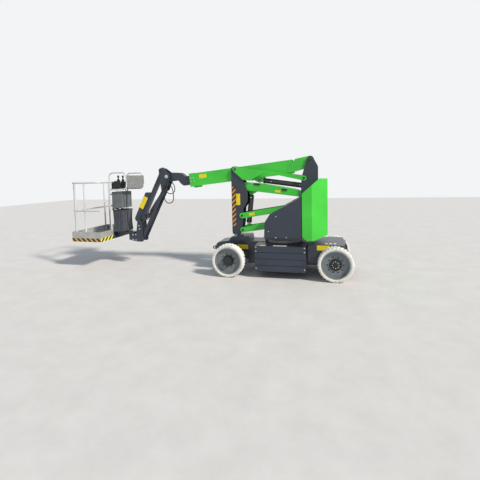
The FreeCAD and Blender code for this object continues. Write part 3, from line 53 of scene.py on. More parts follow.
def photograph_camera():
    """The photograph's camera: at eye height, six metres to the left of the machine's middle, turned
    towards the platform. The focal length and the shift are in the photograph's pixels."""
    picture, focal, shift = 480, 338.98, -38
    eye = at(-726.16, 6001.04, 1689.13)
    yaw, pitch, roll = math.radians(14.1678), math.radians(4.1718), math.radians(-1.2991)
    ahead = Vector((math.sin(yaw) * math.cos(pitch), -math.cos(yaw) * math.cos(pitch), -math.sin(pitch)))
    level = Vector((-math.cos(yaw), -math.sin(yaw), 0))
    above = level.cross(ahead)
    across = level * math.cos(roll) + above * math.sin(roll)
    upward = above * math.cos(roll) - level * math.sin(roll)
    data = bpy.data.cameras.new("photograph_camera")
    data.sensor_width = 36
    data.lens = data.sensor_width * focal / picture
    data.shift_y = shift / picture
    camera = bpy.data.objects.new("photograph_camera", data)
    turn = Matrix((across, upward, -ahead)).transposed().to_4x4()
    camera.matrix_world = Matrix.Translation(eye) @ turn
    scene.collection.objects.link(camera)
    scene.camera = camera


# Materials

# The colour sockets of a mix node: its two inputs and its output.
FIRST, SECOND, MIXED = 6, 7, 2

DRY_DUST = "8C8578"


def linear(code):
    """An sRGB hex colour as linear RGBA."""
    parts = [int(code[i:i + 2], 16) / 255 for i in (0, 2, 4)]
    return [part / 12.92 if part <= 0.04045 else ((part + 0.055) / 1.055) ** 2.4 for part in parts] + [1]


def every(mm):
    """The scale of a pattern whose features lie so many millimetres apart."""
    return 1000 / mm


def fill(tree, node, sockets):
    """Gives each socket of a node a value, a hex colour or another node's output."""
    for name, value in sockets.items():
        if isinstance(value, bpy.types.NodeSocket):
            tree.links.new(value, node.inputs[name])
        else:
            node.inputs[name].default_value = linear(value) if isinstance(value, str) else value


def add(tree, kind, sockets=None, stops=(), **settings):
    """Adds a node with its sockets filled and its settings made. A colour ramp has stops, each a
    position and a hex colour."""
    made = tree.nodes.new(kind)
    for name, value in settings.items():
        setattr(made, name, value)
    fill(tree, made, sockets or {})
    if stops:
        colours = made.color_ramp.elements
        for position, code in stops:
            colours.new(position).color = linear(code)
        colours.remove(colours[0])
        colours.remove(colours[len(colours) - 1])
    return made


def new_material(name):
    """A material, its node tree, its shader and each point's place in the frame, in metres."""
    material = bpy.data.materials.new(name)
    material.use_nodes = True
    tree = material.node_tree
    shader = tree.nodes["Principled BSDF"]
    place = add(tree, "ShaderNodeTexCoord").outputs["Object"]
    return material, tree, shader, place


def enamel(name, colour, shade, dust, roughness):
    """Machine enamel sprayed on rolled plate: even and half glossy, with the faint orange peel of
    the gun, a slow drift in tone over each plate, and dust that lies thickest below 0.75 m."""
    material, tree, shader, place = new_material(name)
    drift = add(tree, "ShaderNodeTexNoise", {"Vector": place, "Scale": every(455), "Detail": 3})
    tone = add(tree, "ShaderNodeValToRGB", {"Fac": drift.outputs["Fac"]},
               stops=[(0.35, shade), (0.65, colour)])
    speck = add(tree, "ShaderNodeTexNoise", {"Vector": place, "Scale": every(29.4), "Detail": 8,
                                            "Roughness": 0.7})
    height = add(tree, "ShaderNodeSeparateXYZ", {"Vector": place})
    low = add(tree, "ShaderNodeMapRange", {"Value": height.outputs["Z"], "From Min": 0.75, "From Max": 0.1,
                                          "To Max": 0.55 * dust})
    grime = add(tree, "ShaderNodeMapRange", {"Value": speck.outputs["Fac"], "From Min": 0.42,
                                            "From Max": 0.66})
    dusty = add(tree, "ShaderNodeMath", {0: low.outputs["Result"], 1: grime.outputs["Result"],
                                        2: 0.12 * dust}, operation="MULTIPLY_ADD", use_clamp=True)
    soiled = add(tree, "ShaderNodeMix", {"Factor": dusty.outputs["Value"], FIRST: tone.outputs["Color"],
                                        SECOND: DRY_DUST}, data_type="RGBA")
    rough = add(tree, "ShaderNodeMapRange", {"Value": speck.outputs["Fac"], "From Min": 0.3, "From Max": 0.7,
                                            "To Min": roughness, "To Max": roughness + 0.14})
    # orange peel is about 2 mm from crest to crest, drawn twice as coarse so that it shows
    peel = add(tree, "ShaderNodeTexNoise", {"Vector": place, "Scale": every(4), "Detail": 2})
    bump = add(tree, "ShaderNodeBump", {"Height": peel.outputs["Fac"], "Strength": 0.05, "Distance": 0.0006})
    fill(tree, shader, {"Base Color": soiled.outputs[MIXED], "Roughness": rough.outputs["Result"],
                        "Normal": bump.outputs["Normal"], "Coat Weight": 0.25, "Coat Roughness": 0.12})
    return material


def wheel_enamel(name, axle):
    """A rim's blue-grey enamel, with the black grease and primer of the hub at its middle."""
    material = enamel(name, "6F7C84", "5E6B73", 1.0, 0.38)
    tree = material.node_tree
    shader = tree.nodes["Principled BSDF"]
    paint = shader.inputs["Base Color"].links[0].from_socket
    place = add(tree, "ShaderNodeTexCoord").outputs["Object"]
    from_axle = add(tree, "ShaderNodeVectorMath", {0: place, 1: axle}, operation="SUBTRACT")
    flat = add(tree, "ShaderNodeVectorMath", {0: from_axle.outputs["Vector"], 1: (1, 0, 1)},
               operation="MULTIPLY")
    radius = add(tree, "ShaderNodeVectorMath", {0: flat.outputs["Vector"]}, operation="LENGTH")
    # the hub's black ends about 100 mm from the axle
    hub = add(tree, "ShaderNodeMapRange", {"Value": radius.outputs["Value"], "From Min": 0.101,
                                          "From Max": 0.098})
    greased = add(tree, "ShaderNodeMix", {"Factor": hub.outputs["Result"], FIRST: paint, SECOND: "16181A"},
                  data_type="RGBA")
    fill(tree, shader, {"Base Color": greased.outputs[MIXED]})
    return material


def pale_rubber():
    """Non-marking solid rubber: off-white and chalky, scuffed grey and tan where it rolls."""
    material, tree, shader, place = new_material("non_marking_rubber")
    cloud = add(tree, "ShaderNodeTexNoise", {"Vector": place, "Scale": every(111), "Detail": 6,
                                            "Roughness": 0.65})
    tone = add(tree, "ShaderNodeValToRGB", {"Fac": cloud.outputs["Fac"]},
               stops=[(0.3, "C9C3B6"), (0.5, "DEDAD0"), (0.7, "EAE7DF")])
    scuff = add(tree, "ShaderNodeTexNoise", {"Vector": place, "Scale": every(16.67), "Detail": 5,
                                            "Roughness": 0.8})
    worn = add(tree, "ShaderNodeMapRange", {"Value": scuff.outputs["Fac"], "From Min": 0.56,
                                           "From Max": 0.7, "To Max": 0.55})
    scuffed = add(tree, "ShaderNodeMix", {"Factor": worn.outputs["Result"], FIRST: tone.outputs["Color"],
                                         SECOND: "A2988A"}, data_type="RGBA")
    # the grains of the moulding skin are about 3 mm, drawn twice as coarse so that they show
    grain = add(tree, "ShaderNodeTexNoise", {"Vector": place, "Scale": every(6), "Detail": 3})
    bump = add(tree, "ShaderNodeBump", {"Height": grain.outputs["Fac"], "Strength": 0.25, "Distance": 0.001})
    fill(tree, shader, {"Base Color": scuffed.outputs[MIXED], "Roughness": 0.88,
                        "Normal": bump.outputs["Normal"]})
    return material


def bare_metal(name, colour, dark, roughness, streak_mm):
    """Machined or plated steel: bright, streaked by the tool, and duller where oil has dried."""
    material, tree, shader, place = new_material(name)
    stretch = add(tree, "ShaderNodeMapping", {"Vector": place, "Scale": [every(mm) for mm in streak_mm]})
    streak = add(tree, "ShaderNodeTexNoise", {"Vector": stretch.outputs["Vector"], "Scale": 1, "Detail": 4})
    tone = add(tree, "ShaderNodeValToRGB", {"Fac": streak.outputs["Fac"]}, stops=[(0.3, dark), (0.6, colour)])
    dull = add(tree, "ShaderNodeMapRange", {"Value": streak.outputs["Fac"], "From Min": 0.3, "From Max": 0.7,
                                           "To Min": roughness + 0.12, "To Max": roughness})
    fill(tree, shader, {"Base Color": tone.outputs["Color"], "Roughness": dull.outputs["Result"],
                        "Metallic": 1.0})
    return material


def moulded(name, colour, shade, roughness, texture_mm):
    """Moulded plastic: matt, with the fine leathery texture of its mould and a soft mottle."""
    material, tree, shader, place = new_material(name)
    cloud = add(tree, "ShaderNodeTexNoise", {"Vector": place, "Scale": every(91), "Detail": 5})
    tone = add(tree, "ShaderNodeValToRGB", {"Fac": cloud.outputs["Fac"]},
               stops=[(0.35, shade), (0.65, colour)])
    cell = add(tree, "ShaderNodeTexVoronoi", {"Vector": place, "Scale": every(texture_mm)})
    bump = add(tree, "ShaderNodeBump", {"Height": cell.outputs["Distance"], "Strength": 0.18,
                                       "Distance": 0.0005})
    fill(tree, shader, {"Base Color": tone.outputs["Color"], "Roughness": roughness,
                        "Normal": bump.outputs["Normal"]})
    return material


def sand_casting(name, colour, shade):
    """Black paint on a sand casting: a pebbled skin, oily in patches a hand wide."""
    material, tree, shader, place = new_material(name)
    oil = add(tree, "ShaderNodeTexNoise", {"Vector": place, "Scale": every(143), "Detail": 4})
    tone = add(tree, "ShaderNodeValToRGB", {"Fac": oil.outputs["Fac"]}, stops=[(0.4, shade), (0.6, colour)])
    wet = add(tree, "ShaderNodeMapRange", {"Value": oil.outputs["Fac"], "From Min": 0.35, "From Max": 0.65,
                                          "To Min": 0.34, "To Max": 0.62})
    pebble = add(tree, "ShaderNodeTexNoise", {"Vector": place, "Scale": every(5), "Detail": 4})
    bump = add(tree, "ShaderNodeBump", {"Height": pebble.outputs["Fac"], "Strength": 0.35,
                                       "Distance": 0.0015})
    fill(tree, shader, {"Base Color": tone.outputs["Color"], "Roughness": wet.outputs["Result"],
                        "Normal": bump.outputs["Normal"]})
    return material


def coated_cloth():
    """The tool bag's coated cloth: a plain weave under a dull coat, paler where it creases."""
    material, tree, shader, place = new_material("coated_cloth")
    # threads 1.2 mm apart, drawn 7.9 mm apart so that they show; a wave texture turns 20 radians a unit
    thread = every(7.89) * 2 * math.pi / 20
    warp = add(tree, "ShaderNodeTexWave", {"Vector": place, "Scale": thread, "Distortion": 0.4},
               wave_type="BANDS", bands_direction="Z")
    weft = add(tree, "ShaderNodeTexWave", {"Vector": place, "Scale": thread, "Distortion": 0.4},
               wave_type="BANDS", bands_direction="Y")
    weave = add(tree, "ShaderNodeMath", {0: warp.outputs["Fac"], 1: weft.outputs["Fac"]},
                operation="MULTIPLY")
    crease = add(tree, "ShaderNodeTexNoise", {"Vector": place, "Scale": every(71.4), "Detail": 6,
                                             "Roughness": 0.6})
    tone = add(tree, "ShaderNodeValToRGB", {"Fac": crease.outputs["Fac"]},
               stops=[(0.3, "292D32"), (0.6, "3A3F46"), (0.75, "4C525A")])
    bump = add(tree, "ShaderNodeBump", {"Height": weave.outputs["Value"], "Strength": 0.3,
                                       "Distance": 0.0008})
    fill(tree, shader, {"Base Color": tone.outputs["Color"], "Roughness": 0.72, "Sheen Weight": 0.2,
                        "Normal": bump.outputs["Normal"]})
    return material


def chequer_plate():
    """The platform's pressed aluminium floor: raised bars laid at 45 degrees, greyed by boots."""
    material, tree, shader, place = new_material("chequer_plate")
    turn = add(tree, "ShaderNodeMapping", {"Vector": place, "Rotation": (0, 0, math.radians(45))})
    # bars 30 mm long, because a brick is half a unit long
    bars = add(tree, "ShaderNodeTexBrick", {"Vector": turn.outputs["Vector"], "Scale": every(60),
                                           "Mortar Size": 0.16, "Color1": "FFFFFF", "Color2": "FFFFFF",
                                           "Mortar": "000000"})
    scuff = add(tree, "ShaderNodeTexNoise", {"Vector": place, "Scale": every(143), "Detail": 9,
                                            "Roughness": 0.62})
    tone = add(tree, "ShaderNodeValToRGB", {"Fac": scuff.outputs["Fac"]},
               stops=[(0.3, "A3A29E"), (0.55, "B5B4B0"), (0.75, "C0BFBB")])
    bump = add(tree, "ShaderNodeBump", {"Height": bars.outputs["Color"], "Strength": 0.5,
                                       "Distance": 0.0015})
    fill(tree, shader, {"Base Color": tone.outputs["Color"], "Roughness": 0.5, "Metallic": 0.35,
                        "Normal": bump.outputs["Normal"]})
    return material


def hazard_tape(name, light, across, pitch_mm, dark="141414"):
    """Reflective tape with bars in two colours that follow one another across, scuffed in specks."""
    material, tree, shader, place = new_material(name)
    along = add(tree, "ShaderNodeVectorMath", {0: place, 1: across}, operation="DOT_PRODUCT")
    turns = add(tree, "ShaderNodeMath", {0: along.outputs["Value"], 1: every(pitch_mm)},
                operation="MULTIPLY")
    part = add(tree, "ShaderNodeMath", {0: turns.outputs["Value"]}, operation="FRACT")
    bar = add(tree, "ShaderNodeMapRange", {"Value": part.outputs["Value"], "From Min": 0.48,
                                          "From Max": 0.52})
    striped = add(tree, "ShaderNodeMix", {"Factor": bar.outputs["Result"], FIRST: light, SECOND: dark},
                  data_type="RGBA")
    speck = add(tree, "ShaderNodeTexNoise", {"Vector": place, "Scale": every(22.2), "Detail": 6})
    worn = add(tree, "ShaderNodeMapRange", {"Value": speck.outputs["Fac"], "From Min": 0.6,
                                           "From Max": 0.75, "To Max": 0.5})
    scuffed = add(tree, "ShaderNodeMix", {"Factor": worn.outputs["Result"], FIRST: striped.outputs[MIXED],
                                         SECOND: "8E8A80"}, data_type="RGBA")
    fill(tree, shader, {"Base Color": scuffed.outputs[MIXED], "Roughness": 0.42})
    return material


def blank_vinyl(name, shade, colour):
    """Blank vinyl film: flat and even, with a slightly paler bloom."""
    material, tree, shader, place = new_material(name)
    cloud = add(tree, "ShaderNodeTexNoise", {"Vector": place, "Scale": every(40), "Detail": 4})
    tone = add(tree, "ShaderNodeValToRGB", {"Fac": cloud.outputs["Fac"]},
               stops=[(0.35, shade), (0.65, colour)])
    fill(tree, shader, {"Base Color": tone.outputs["Color"], "Roughness": 0.38})
    return material


MATERIALS = {
    "green_enamel": enamel("green_machine_enamel", "37CB2F", "2EB928", 0.3, 0.3),
    "slate_enamel": enamel("slate_machine_enamel", "212D3E", "1C2735", 0.25, 0.36),
    "cover_enamel": enamel("battery_cover_enamel", "242F40", "1F2937", 0.1, 0.34),
    "black_enamel": enamel("black_cylinder_enamel", "1D1F22", "131517", 0.6, 0.3),
    "rail_enamel": enamel("pale_rail_enamel", "D6D7D4", "C2C4C2", 0.5, 0.34),
    "rubber_tyre": pale_rubber(),
    "hard_chrome": bare_metal("hard_chrome", "DDE0E2", "B9BDC0", 0.1, (25, 25, 25)),
    "turned_steel": bare_metal("turned_ring_steel", "8B8E90", "4E5053", 0.38, (25, 25, 1.25)),
    "zinc": bare_metal("zinc_plate", "D5D7D6", "9FA3A4", 0.3, (8.333, 8.333, 8.333)),
    "casting": sand_casting("black_casting", "25272A", "121315"),
    "battery_case": moulded("battery_polypropylene", "2A2B2D", "202123", 0.6, 3),
    "cabinet": moulded("cabinet_polythene", "6C6F70", "616465", 0.55, 4),
    "guard": moulded("guard_sheet_polythene", "84847F", "797975", 0.48, 4),
    "console": moulded("console_abs", "1B1C1F", "101113", 0.42, 2.5),
    "hose": moulded("hose_rubber_cover", "161718", "0D0E0F", 0.55, 2),
    "pad": moulded("nylon_wear_pad", "1C1D1F", "121314", 0.5, 2.5),
    "white_button": moulded("white_button_plastic", "E9E9E4", "D9D9D3", 0.35, 2),
    "red_button": moulded("red_button_plastic", "C3201B", "A81712", 0.35, 2),
    "cloth": coated_cloth(),
    "floor_plate": chequer_plate(),
    # the upright's strip is the yellow hazard tape, darkened to orange as painted shade
    "shaded_upright_tape": hazard_tape("hazard_tape_painted_shade_upright", "C98A3E", (0.7071, 0, 0.7071), 62),
    # the platform's near edge has the same yellow tape as the machine side, darkened to amber as painted
    # shade
    "shaded_near_edge_tape": hazard_tape("hazard_tape_painted_shade_near", "C79A45", (-0.7071, 0, 0.7071), 76),
    "rear_tape": hazard_tape("yellow_hazard_tape", "F0DE2E", (0, 0.7071, 0.7071), 76),
    "tail_tape": hazard_tape("red_and_white_tape", "E6E3DC", (1, 0, 0), 70, "B3211B"),
    "vinyl": blank_vinyl("yellow_vinyl", "E3C400", "F3DA1C"),
    "white_vinyl": blank_vinyl("white_vinyl", "DADAD6", "ECECE8"),
}

NODE_FINISH = {
    "green_enamel": ["counterweight", "lower_arm_top", "lower_arm_bottom", "upper_arm_top",
                     "upper_arm_bottom", "main_boom"],
    "slate_enamel": ["chassis_frame", "front_hood", "tie_downs", "turntable_base", "housing_left",
                     "housing_right", "cover_left", "cover_right", "front_upright", "rear_upright",
                     "fly_boom", "level_head", "jib_arm", "jib_link", "platform_support",
                     "platform_bracket", "power_unit"],
    "cover_enamel": ["battery_box_left", "battery_box_right"],
    "black_enamel": ["tower_cylinder_barrel", "boom_cylinder_barrel", "jib_cylinder_barrel",
                     "steer_cylinder"],
    "hard_chrome": ["tower_cylinder_rod", "boom_cylinder_rod", "jib_cylinder_rod", "steer_rod"],
    "turned_steel": ["slew_ring"],
    "casting": ["rear_drives", "knuckle_left", "knuckle_right"],
    "battery_case": ["battery_packs"],
    "console": ["console_box", "control_cabinet"],
    "cabinet": ["platform_cabinet"],
    "guard": ["guard_sheet"],
    "rail_enamel": ["platform_rails", "entry_bar"],
    "floor_plate": ["platform_floor"],
    "cloth": ["tool_bag"],
    "hose": ["hose_head_upper", "hose_head_lower", "control_cable"],
}

AXLE_X, WHEEL_Y, WHEEL_R = 879, 519, 279.5
WHEELS = {"front_left": (AXLE_X, WHEEL_Y), "front_right": (AXLE_X, -WHEEL_Y),
          "rear_left": (-AXLE_X, WHEEL_Y), "rear_right": (-AXLE_X, -WHEEL_Y)}


def finish_nodes():
    """Gives each CAD piece the finish of the real one."""
    finishes = {name: MATERIALS[finish] for finish, names in NODE_FINISH.items() for name in names}
    for name, (x, y) in WHEELS.items():
        finishes[f"rim_{name}"] = wheel_enamel(f"rim_enamel_{name}", at(x, y, WHEEL_R))
    for name, material in finishes.items():
        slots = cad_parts[name].data.materials
        slots.clear()
        slots.append(material)


# Shapes

def piece(name, verts, faces, finish, body, smooth=False):
    """A mesh piece in frame metres that rides on a body."""
    mesh = bpy.data.meshes.new(name)
    mesh.from_pydata([tuple(v) for v in verts], [], faces)
    mesh.materials.append(MATERIALS[finish])
    made = bpy.data.objects.new(name, mesh)
    scene.collection.objects.link(made)
    outward = bmesh.new()
    outward.from_mesh(mesh)
    bmesh.ops.recalc_face_normals(outward, faces=outward.faces)
    outward.to_mesh(mesh)
    outward.free()
    if smooth:
        mesh.shade_smooth()
    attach(made, body)
    return made


def turned(centres, axis, *profiles):
    """Verts and faces of profiles turned about an axis at each centre. A profile is its number of
    sides and its pairs of radius and height, in metres."""
    axis = Vector(axis).normalized()
    side = axis.orthogonal().normalized()
    other = axis.cross(side)
    verts, faces = [], []
    for centre in centres:
        for sides, profile in profiles:
            count = len(profile)
            rays = [len(verts) + k * count for k in range(sides)]
            for k in range(sides):
                angle = 2 * math.pi * k / sides
                ray = side * math.cos(angle) + other * math.sin(angle)
                verts += [centre + ray * r + axis * h for r, h in profile]
            for here, there in zip(rays, rays[1:] + rays[:1]):
                faces += [(here + i, there + i, there + i + 1, here + i + 1) for i in range(count - 1)]
            faces.append(tuple(rays))
            faces.append(tuple(first + count - 1 for first in reversed(rays)))
    return verts, faces


def walls(levels, count):
    """The faces between rings of verts that lie one above the other."""
    return [(k + i, k + (i + 1) % count, k + count + (i + 1) % count, k + count + i)
            for k in range(0, levels * count, count) for i in range(count)]


def bend(start, tip, end, steps):
    """Points of a smooth bend from start to end, drawn towards tip."""
    shares = [k / steps for k in range(steps + 1)]
    return [start * (1 - t) ** 2 + tip * 2 * t * (1 - t) + end * t ** 2 for t in shares]


def fasteners(name, places, axis, across_mm, body, finish="zinc"):
    """Hexagon bolt heads on washers, at places in mm, standing off along an axis."""
    r = across_mm / 2000
    washer = [(r * 1.45, -0.0005), (r * 1.45, 0.002), (r * 1.3, 0.0026), (r * 0.9, 0.0026)]
    head = [(r * 1.12, 0.0022), (r * 1.12, r * 0.95), (r * 0.98, r * 1.12), (r * 0.6, r * 1.14)]
    verts, faces = turned([at(*place) for place in places], axis, (20, washer), (6, head))
    return piece(name, verts, faces, finish, body)


def sheet_plate(name, corners, thick, finish, body, corner_mm=6):
    """A thin plate with rounded corners and a small chamfer, from its corners in mm."""
    points = [at(*corner) for corner in corners]
    rise = (points[2] - points[1]).cross(points[1] - points[0]).normalized() * thick / 1000
    chamfer, chamfer_foot = 0.0008, 0.7
    loop = []
    for i, point in enumerate(points):
        back = (points[i - 1] - point).normalized() * corner_mm / 1000
        on = (points[(i + 1) % len(points)] - point).normalized() * corner_mm / 1000
        loop += bend(point + back, point, point + on, 4)
    count = len(loop)
    middle = sum(loop, Vector()) / count
    verts = loop + [p + rise * chamfer_foot for p in loop]
    verts += [p + rise + (middle - p).normalized() * chamfer for p in loop]
    faces = [tuple(range(count * 2, count * 3)), tuple(reversed(range(count)))]
    return piece(name, verts, faces + walls(2, count), finish, body)


def round_bar(name, points, radius_mm, finish, body, steps=12):
    """A bent round bar that is drawn towards points in mm and rides on a body."""
    data = bpy.data.curves.new(name, "CURVE")
    data.dimensions = "3D"
    data.bevel_depth = radius_mm / 1000
    data.bevel_resolution = 3
    data.use_fill_caps = True
    spline = data.splines.new("NURBS")
    spline.points.add(len(points) - 1)
    for control, point in zip(spline.points, points):
        control.co = (*at(*point), 1)
    spline.order_u = 3
    spline.use_endpoint_u = True
    spline.resolution_u = steps
    data.materials.append(MATERIALS[finish])
    made = bpy.data.objects.new(name, data)
    scene.collection.objects.link(made)
    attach(made, body)
    return made


# Wheels

def tyre(name, x, y):
    """A solid tyre: thirty lugs on each shoulder, set half a pitch apart, with slanting grooves
    between them that run out on the sidewall."""
    out = 1 if y > 0 else -1
    pitches, half, groove, slant = 30, 0.089, 0.0105, 0.30
    # along a pitch: the share of it, and 1 where a lug stands
    stations = [(0.00, 0), (0.07, 1), (0.22, 1), (0.37, 1), (0.52, 1), (0.59, 0), (0.72, 0), (0.86, 0)]
    # from a sidewall to the middle: place across, radius, and share of the groove's depth
    rows = [(-half + 0.008, 0.2255, 0), (-half + 0.0005, 0.240, 0), (-half, 0.250, 0),
            (-half + 0.0005, 0.2615, 0.05), (-half + 0.003, 0.2700, 0.35), (-half + 0.008, 0.2765, 0.75),
            (-half + 0.016, 0.2795, 1), (-0.045, 0.2795, 1), (-0.016, 0.2795, 1), (-0.009, 0.2795, 0.5),
            (-0.004, 0.2775, 0)]
    rows += [(-across, radius, share) for across, radius, share in reversed(rows)]
    verts, faces = [], []
    centre = at(x, y, WHEEL_R)
    for pitch in range(pitches):
        for along, lug in stations:
            for across, radius, grooved in rows:
                shift = (0.5 if across > 0 else 0) + slant * abs(across) / half
                angle = 2 * math.pi * (pitch + along + shift) / pitches
                r = radius - groove * grooved * (1 - lug)
                verts.append(centre + Vector((r * math.cos(angle), across * out, r * math.sin(angle))))
    count, total = len(rows), pitches * len(stations)
    middle, half_pitch = count // 2, len(stations) // 2
    for k in range(total):
        here, there = k * count, (k + 1) % total * count
        faces += [(here + i, there + i, there + i + 1, here + i + 1) for i in range(count - 1)
                  if i != middle - 1]
        # across the middle, verts half a pitch apart lie side by side
        far, next_far = (k - half_pitch) % total * count, (k + 1 - half_pitch) % total * count
        faces.append((here + middle - 1, there + middle - 1, next_far + middle, far + middle))
        faces.append((here, there, there + count - 1, here + count - 1))
    made = piece(f"lugged_tyre_{name}", verts, faces, "rubber_tyre", f"wheel_{name}")
    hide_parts(f"tyre_{name}")


def bolt_circle(x, y, radius, count):
    """Places in mm round a wheel's axle."""
    angles = [2 * math.pi * k / count for k in range(count)]
    return [(x + radius * math.cos(a), y, WHEEL_R + radius * math.sin(a)) for a in angles]


def wheel_fittings(name, x, y):
    """The nuts round each hub and, at the rear, the drive's cover with its bolts. The disc and the
    cover stand so many mm out from the wheel's middle."""
    out = 1 if y > 0 else -1
    disc, cover_foot, cover_face = 35, 51, 62
    front = x > 0
    nuts, circle = (9, 118) if front else (10, 124)
    places = bolt_circle(x, y + disc * out, circle, nuts)
    fasteners(f"wheel_nuts_{name}", places, (0, out, 0), 15, f"wheel_{name}", "casting")
    if front:
        return
    profile = [(0.066, -0.001), (0.066, 0.008), (0.061, 0.011), (0.036, 0.013), (0.032, 0.018),
               (0.012, 0.019)]
    verts, faces = turned([at(x, y + cover_foot * out, WHEEL_R)], (0, out, 0), (48, profile))
    piece(f"drive_cover_{name}", verts, faces, "casting", f"wheel_{name}")
    places = bolt_circle(x, y + cover_face * out, 50, 8)
    fasteners(f"drive_cover_bolts_{name}", places, (0, out, 0), 10, f"wheel_{name}")


def build_wheels():
    """The four wheels' tyres and fittings."""
    for name, (x, y) in WHEELS.items():
        tyre(name, x, y)
        wheel_fittings(name, x, y)


# Chassis and turntable

def battery_cover_bolts():
    """Zinc bolts down both ends of the near cover and of the far one."""
    for name, out in SIDES:
        places = [(x, 556 * out, z) for x in (-398, 398) for z in (172, 459, 528)]
        fasteners(f"battery_cover_bolts_{name}", places, (0, out, 0), 15, "chassis")


def blank_plates():
    """The blank plates of the near side, the tail's tape and the upright's hazard strip."""
    standing = [
        ("frame_front", "chassis", "slate_paint",
         [(804, 200, 412), (804, 200, 492), (609, 200, 492), (609, 200, 412)]),
        ("frame_rear", "chassis", "slate_paint",
         [(-590, 400, 470), (-590, 400, 550), (-796, 400, 550), (-796, 400, 470)]),
        ("upright", "front_upright", "slate_paint",
         [(826, 124, 1193), (826, 124, 1395), (754, 124, 1395), (754, 124, 1193)]),
        ("upper_box", "upper_arm_bottom", "green_paint",
         [(128, 98, 1416), (128, 98, 1456), (29, 98, 1442), (29, 98, 1402)]),
        ("lower_link", "lower_arm_top", "green_paint",
         [(593, 146, 1000), (593, 146, 1048), (493, 146, 1064), (493, 146, 1016)]),
        ("boom", "boom", "green_paint",
         [boom_place(along, 88, rise) for along, rise in ((2030, -70), (2030, 2), (1890, 2), (1890, -70))]),
        ("jib_casing", "jib_arm", "slate_paint",
         [(2824, 52, 1152), (2693, 52, 1367), (2622, 52, 1322), (2741, 52, 1105)]),
    ]
    for name, body, slot, corners in standing:
        sheet_plate(f"blank_plate_{name}", corners, 1, "vinyl", body)
    level = [
        ("tail", "tail_tape", -905, -691, 215, 285, 556),
        ("battery_white", "white_vinyl", -110, 115, 452, 536, 548),
        ("battery_yellow", "vinyl", 246, 340, 476, 536, 548),
    ]
    for name, finish, x1, x2, y1, y2, z in level:
        corners = [(x1, y1, z), (x1, y2, z), (x2, y2, z), (x2, y1, z)]
        sheet_plate(f"blank_plate_{name}", corners, 1, finish, "chassis")
    # the strip is yellow hazard tape, darkened to orange as painted shade
    strip = [(905, 124, 811), (905, 124, 1527), (838, 124, 1527), (838, 124, 811)]
    sheet_plate("upright_hazard_strip", strip, 0.8, "shaded_upright_tape", "front_upright")


def cover_screws():
    """Small zinc screws in the covers' outer faces."""
    for name, out in SIDES:
        places = [(x, 555 * out, z) for x, z in ((57, 1038), (181, 790), (63, 692), (-108, 696))]
        fasteners(f"cover_screws_{name}", places, (0, out, 0), 12, f"cover_{name}")


# Arms, boom and jib

# The pivots as x and z in mm.
PIVOTS = {
    "lower_arm_front_top": (718, 1004),
    "lower_arm_front_bottom": (710, 748),
    "lower_arm_rear_top": (-360, 1175),
    "lower_arm_rear_bottom": (-368, 919),
    "upper_arm_front_top": (833, 1835),
    "upper_arm_front_bottom": (843, 1550),
    "upper_arm_rear_top": (-375, 1652),
    "upper_arm_rear_bottom": (-365, 1367),
    "tower_lug_upper": (563, 1408),
    "tower_lug_lower": (631, 806),
    "boom_pivot": (-481, 1967),
    "boom_cylinder_base": (-425, 1512),
    "boom_lug": (410.9, 1632.9),
    "fly_head": (2195.4, 1735),
    "jib_head": (2300, 1850),
    "jib_link_head": (2265, 1500),
    "jib_lug": (2693.3, 916.7),
    "jib_foot": (2804.3, 864.6),
    "jib_link_foot": (2769.3, 514.5),
}
BOOM_SLOPE = math.radians(6)


def boom_place(along, y, rise):
    """A place in the boom's own frame, from its pivot, as machine millimetres."""
    x, z = PIVOTS["boom_pivot"]
    return (x + along * math.cos(BOOM_SLOPE) + rise * math.sin(BOOM_SLOPE), y,
            z - along * math.sin(BOOM_SLOPE) + rise * math.cos(BOOM_SLOPE))


def pin_keepers():
    """A keeper bolt in both ends of every pivot pin. Each pin has its body, its reach out from the
    middle, and its keeper's size in mm."""
    pins = [
        ("lower_arm_front_top", "front_upright", 150, 22),
        ("lower_arm_front_bottom", "front_upright", 150, 22),
        ("lower_arm_rear_top", "turntable", 150, 22),
        ("lower_arm_rear_bottom", "turntable", 150, 22),
        ("upper_arm_front_top", "front_upright", 150, 22),
        ("upper_arm_front_bottom", "upper_arm_bottom", 130, 24.2),
        ("upper_arm_rear_top", "rear_upright", 150, 22),
        ("upper_arm_rear_bottom", "upper_arm_bottom", 130, 24.2),
        ("boom_pivot", "boom", 130, 30.8),
        ("jib_head", "level_head", 102, 22),
        ("jib_link_head", "level_head", 102, 22),
        ("jib_foot", "support", 102, 22),
        ("jib_link_foot", "support", 102, 22),
        ("boom_lug", "boom", 57, 22),
        ("boom_cylinder_base", "rear_upright", 52, 22),
        ("tower_lug_upper", "upper_arm_bottom", 42, 22),
    ]
    for name, body, reach, across in pins:
        x, z = PIVOTS[name]
        for side, out in SIDES:
            fasteners(f"keeper_{name}_{side}", [(x, reach * out, z)], (0, out, 0), across, body,
                      "black_enamel")


def pin_caps():
    """The bright caps of the fly's head pivot, and the dark ends of the pins that pass through
    green arms."""
    bright = [(0.0362, -0.012), (0.0362, -0.002), (0.034, 0), (0.012, 0.0006), (0.011, 0.003)]
    x, z = PIVOTS["fly_head"]
    for side, out in SIDES:
        verts, faces = turned([at(x, 93 * out, z)], (0, out, 0), (40, bright))
        piece(f"head_pivot_cap_{side}", verts, faces, "zinc", "level_head")
    ends = [
        ("upper_arm_front", "upper_arm_front_bottom", "upper_arm_bottom", 0.0224),
        ("upper_arm_rear", "upper_arm_rear_bottom", "upper_arm_bottom", 0.0224),
        ("boom_pivot", "boom_pivot", "boom", 0.0284),
    ]
    for name, pivot, body, r in ends:
        dark = [(r, -0.005), (r, -0.0006), (r - 0.001, 0.0004), (0.004, 0.0004)]
        x, z = PIVOTS[pivot]
        for side, out in SIDES:
            verts, faces = turned([at(x, 130 * out, z)], (0, out, 0), (40, dark))
            piece(f"pin_end_{name}_{side}", verts, faces, "black_enamel", body)


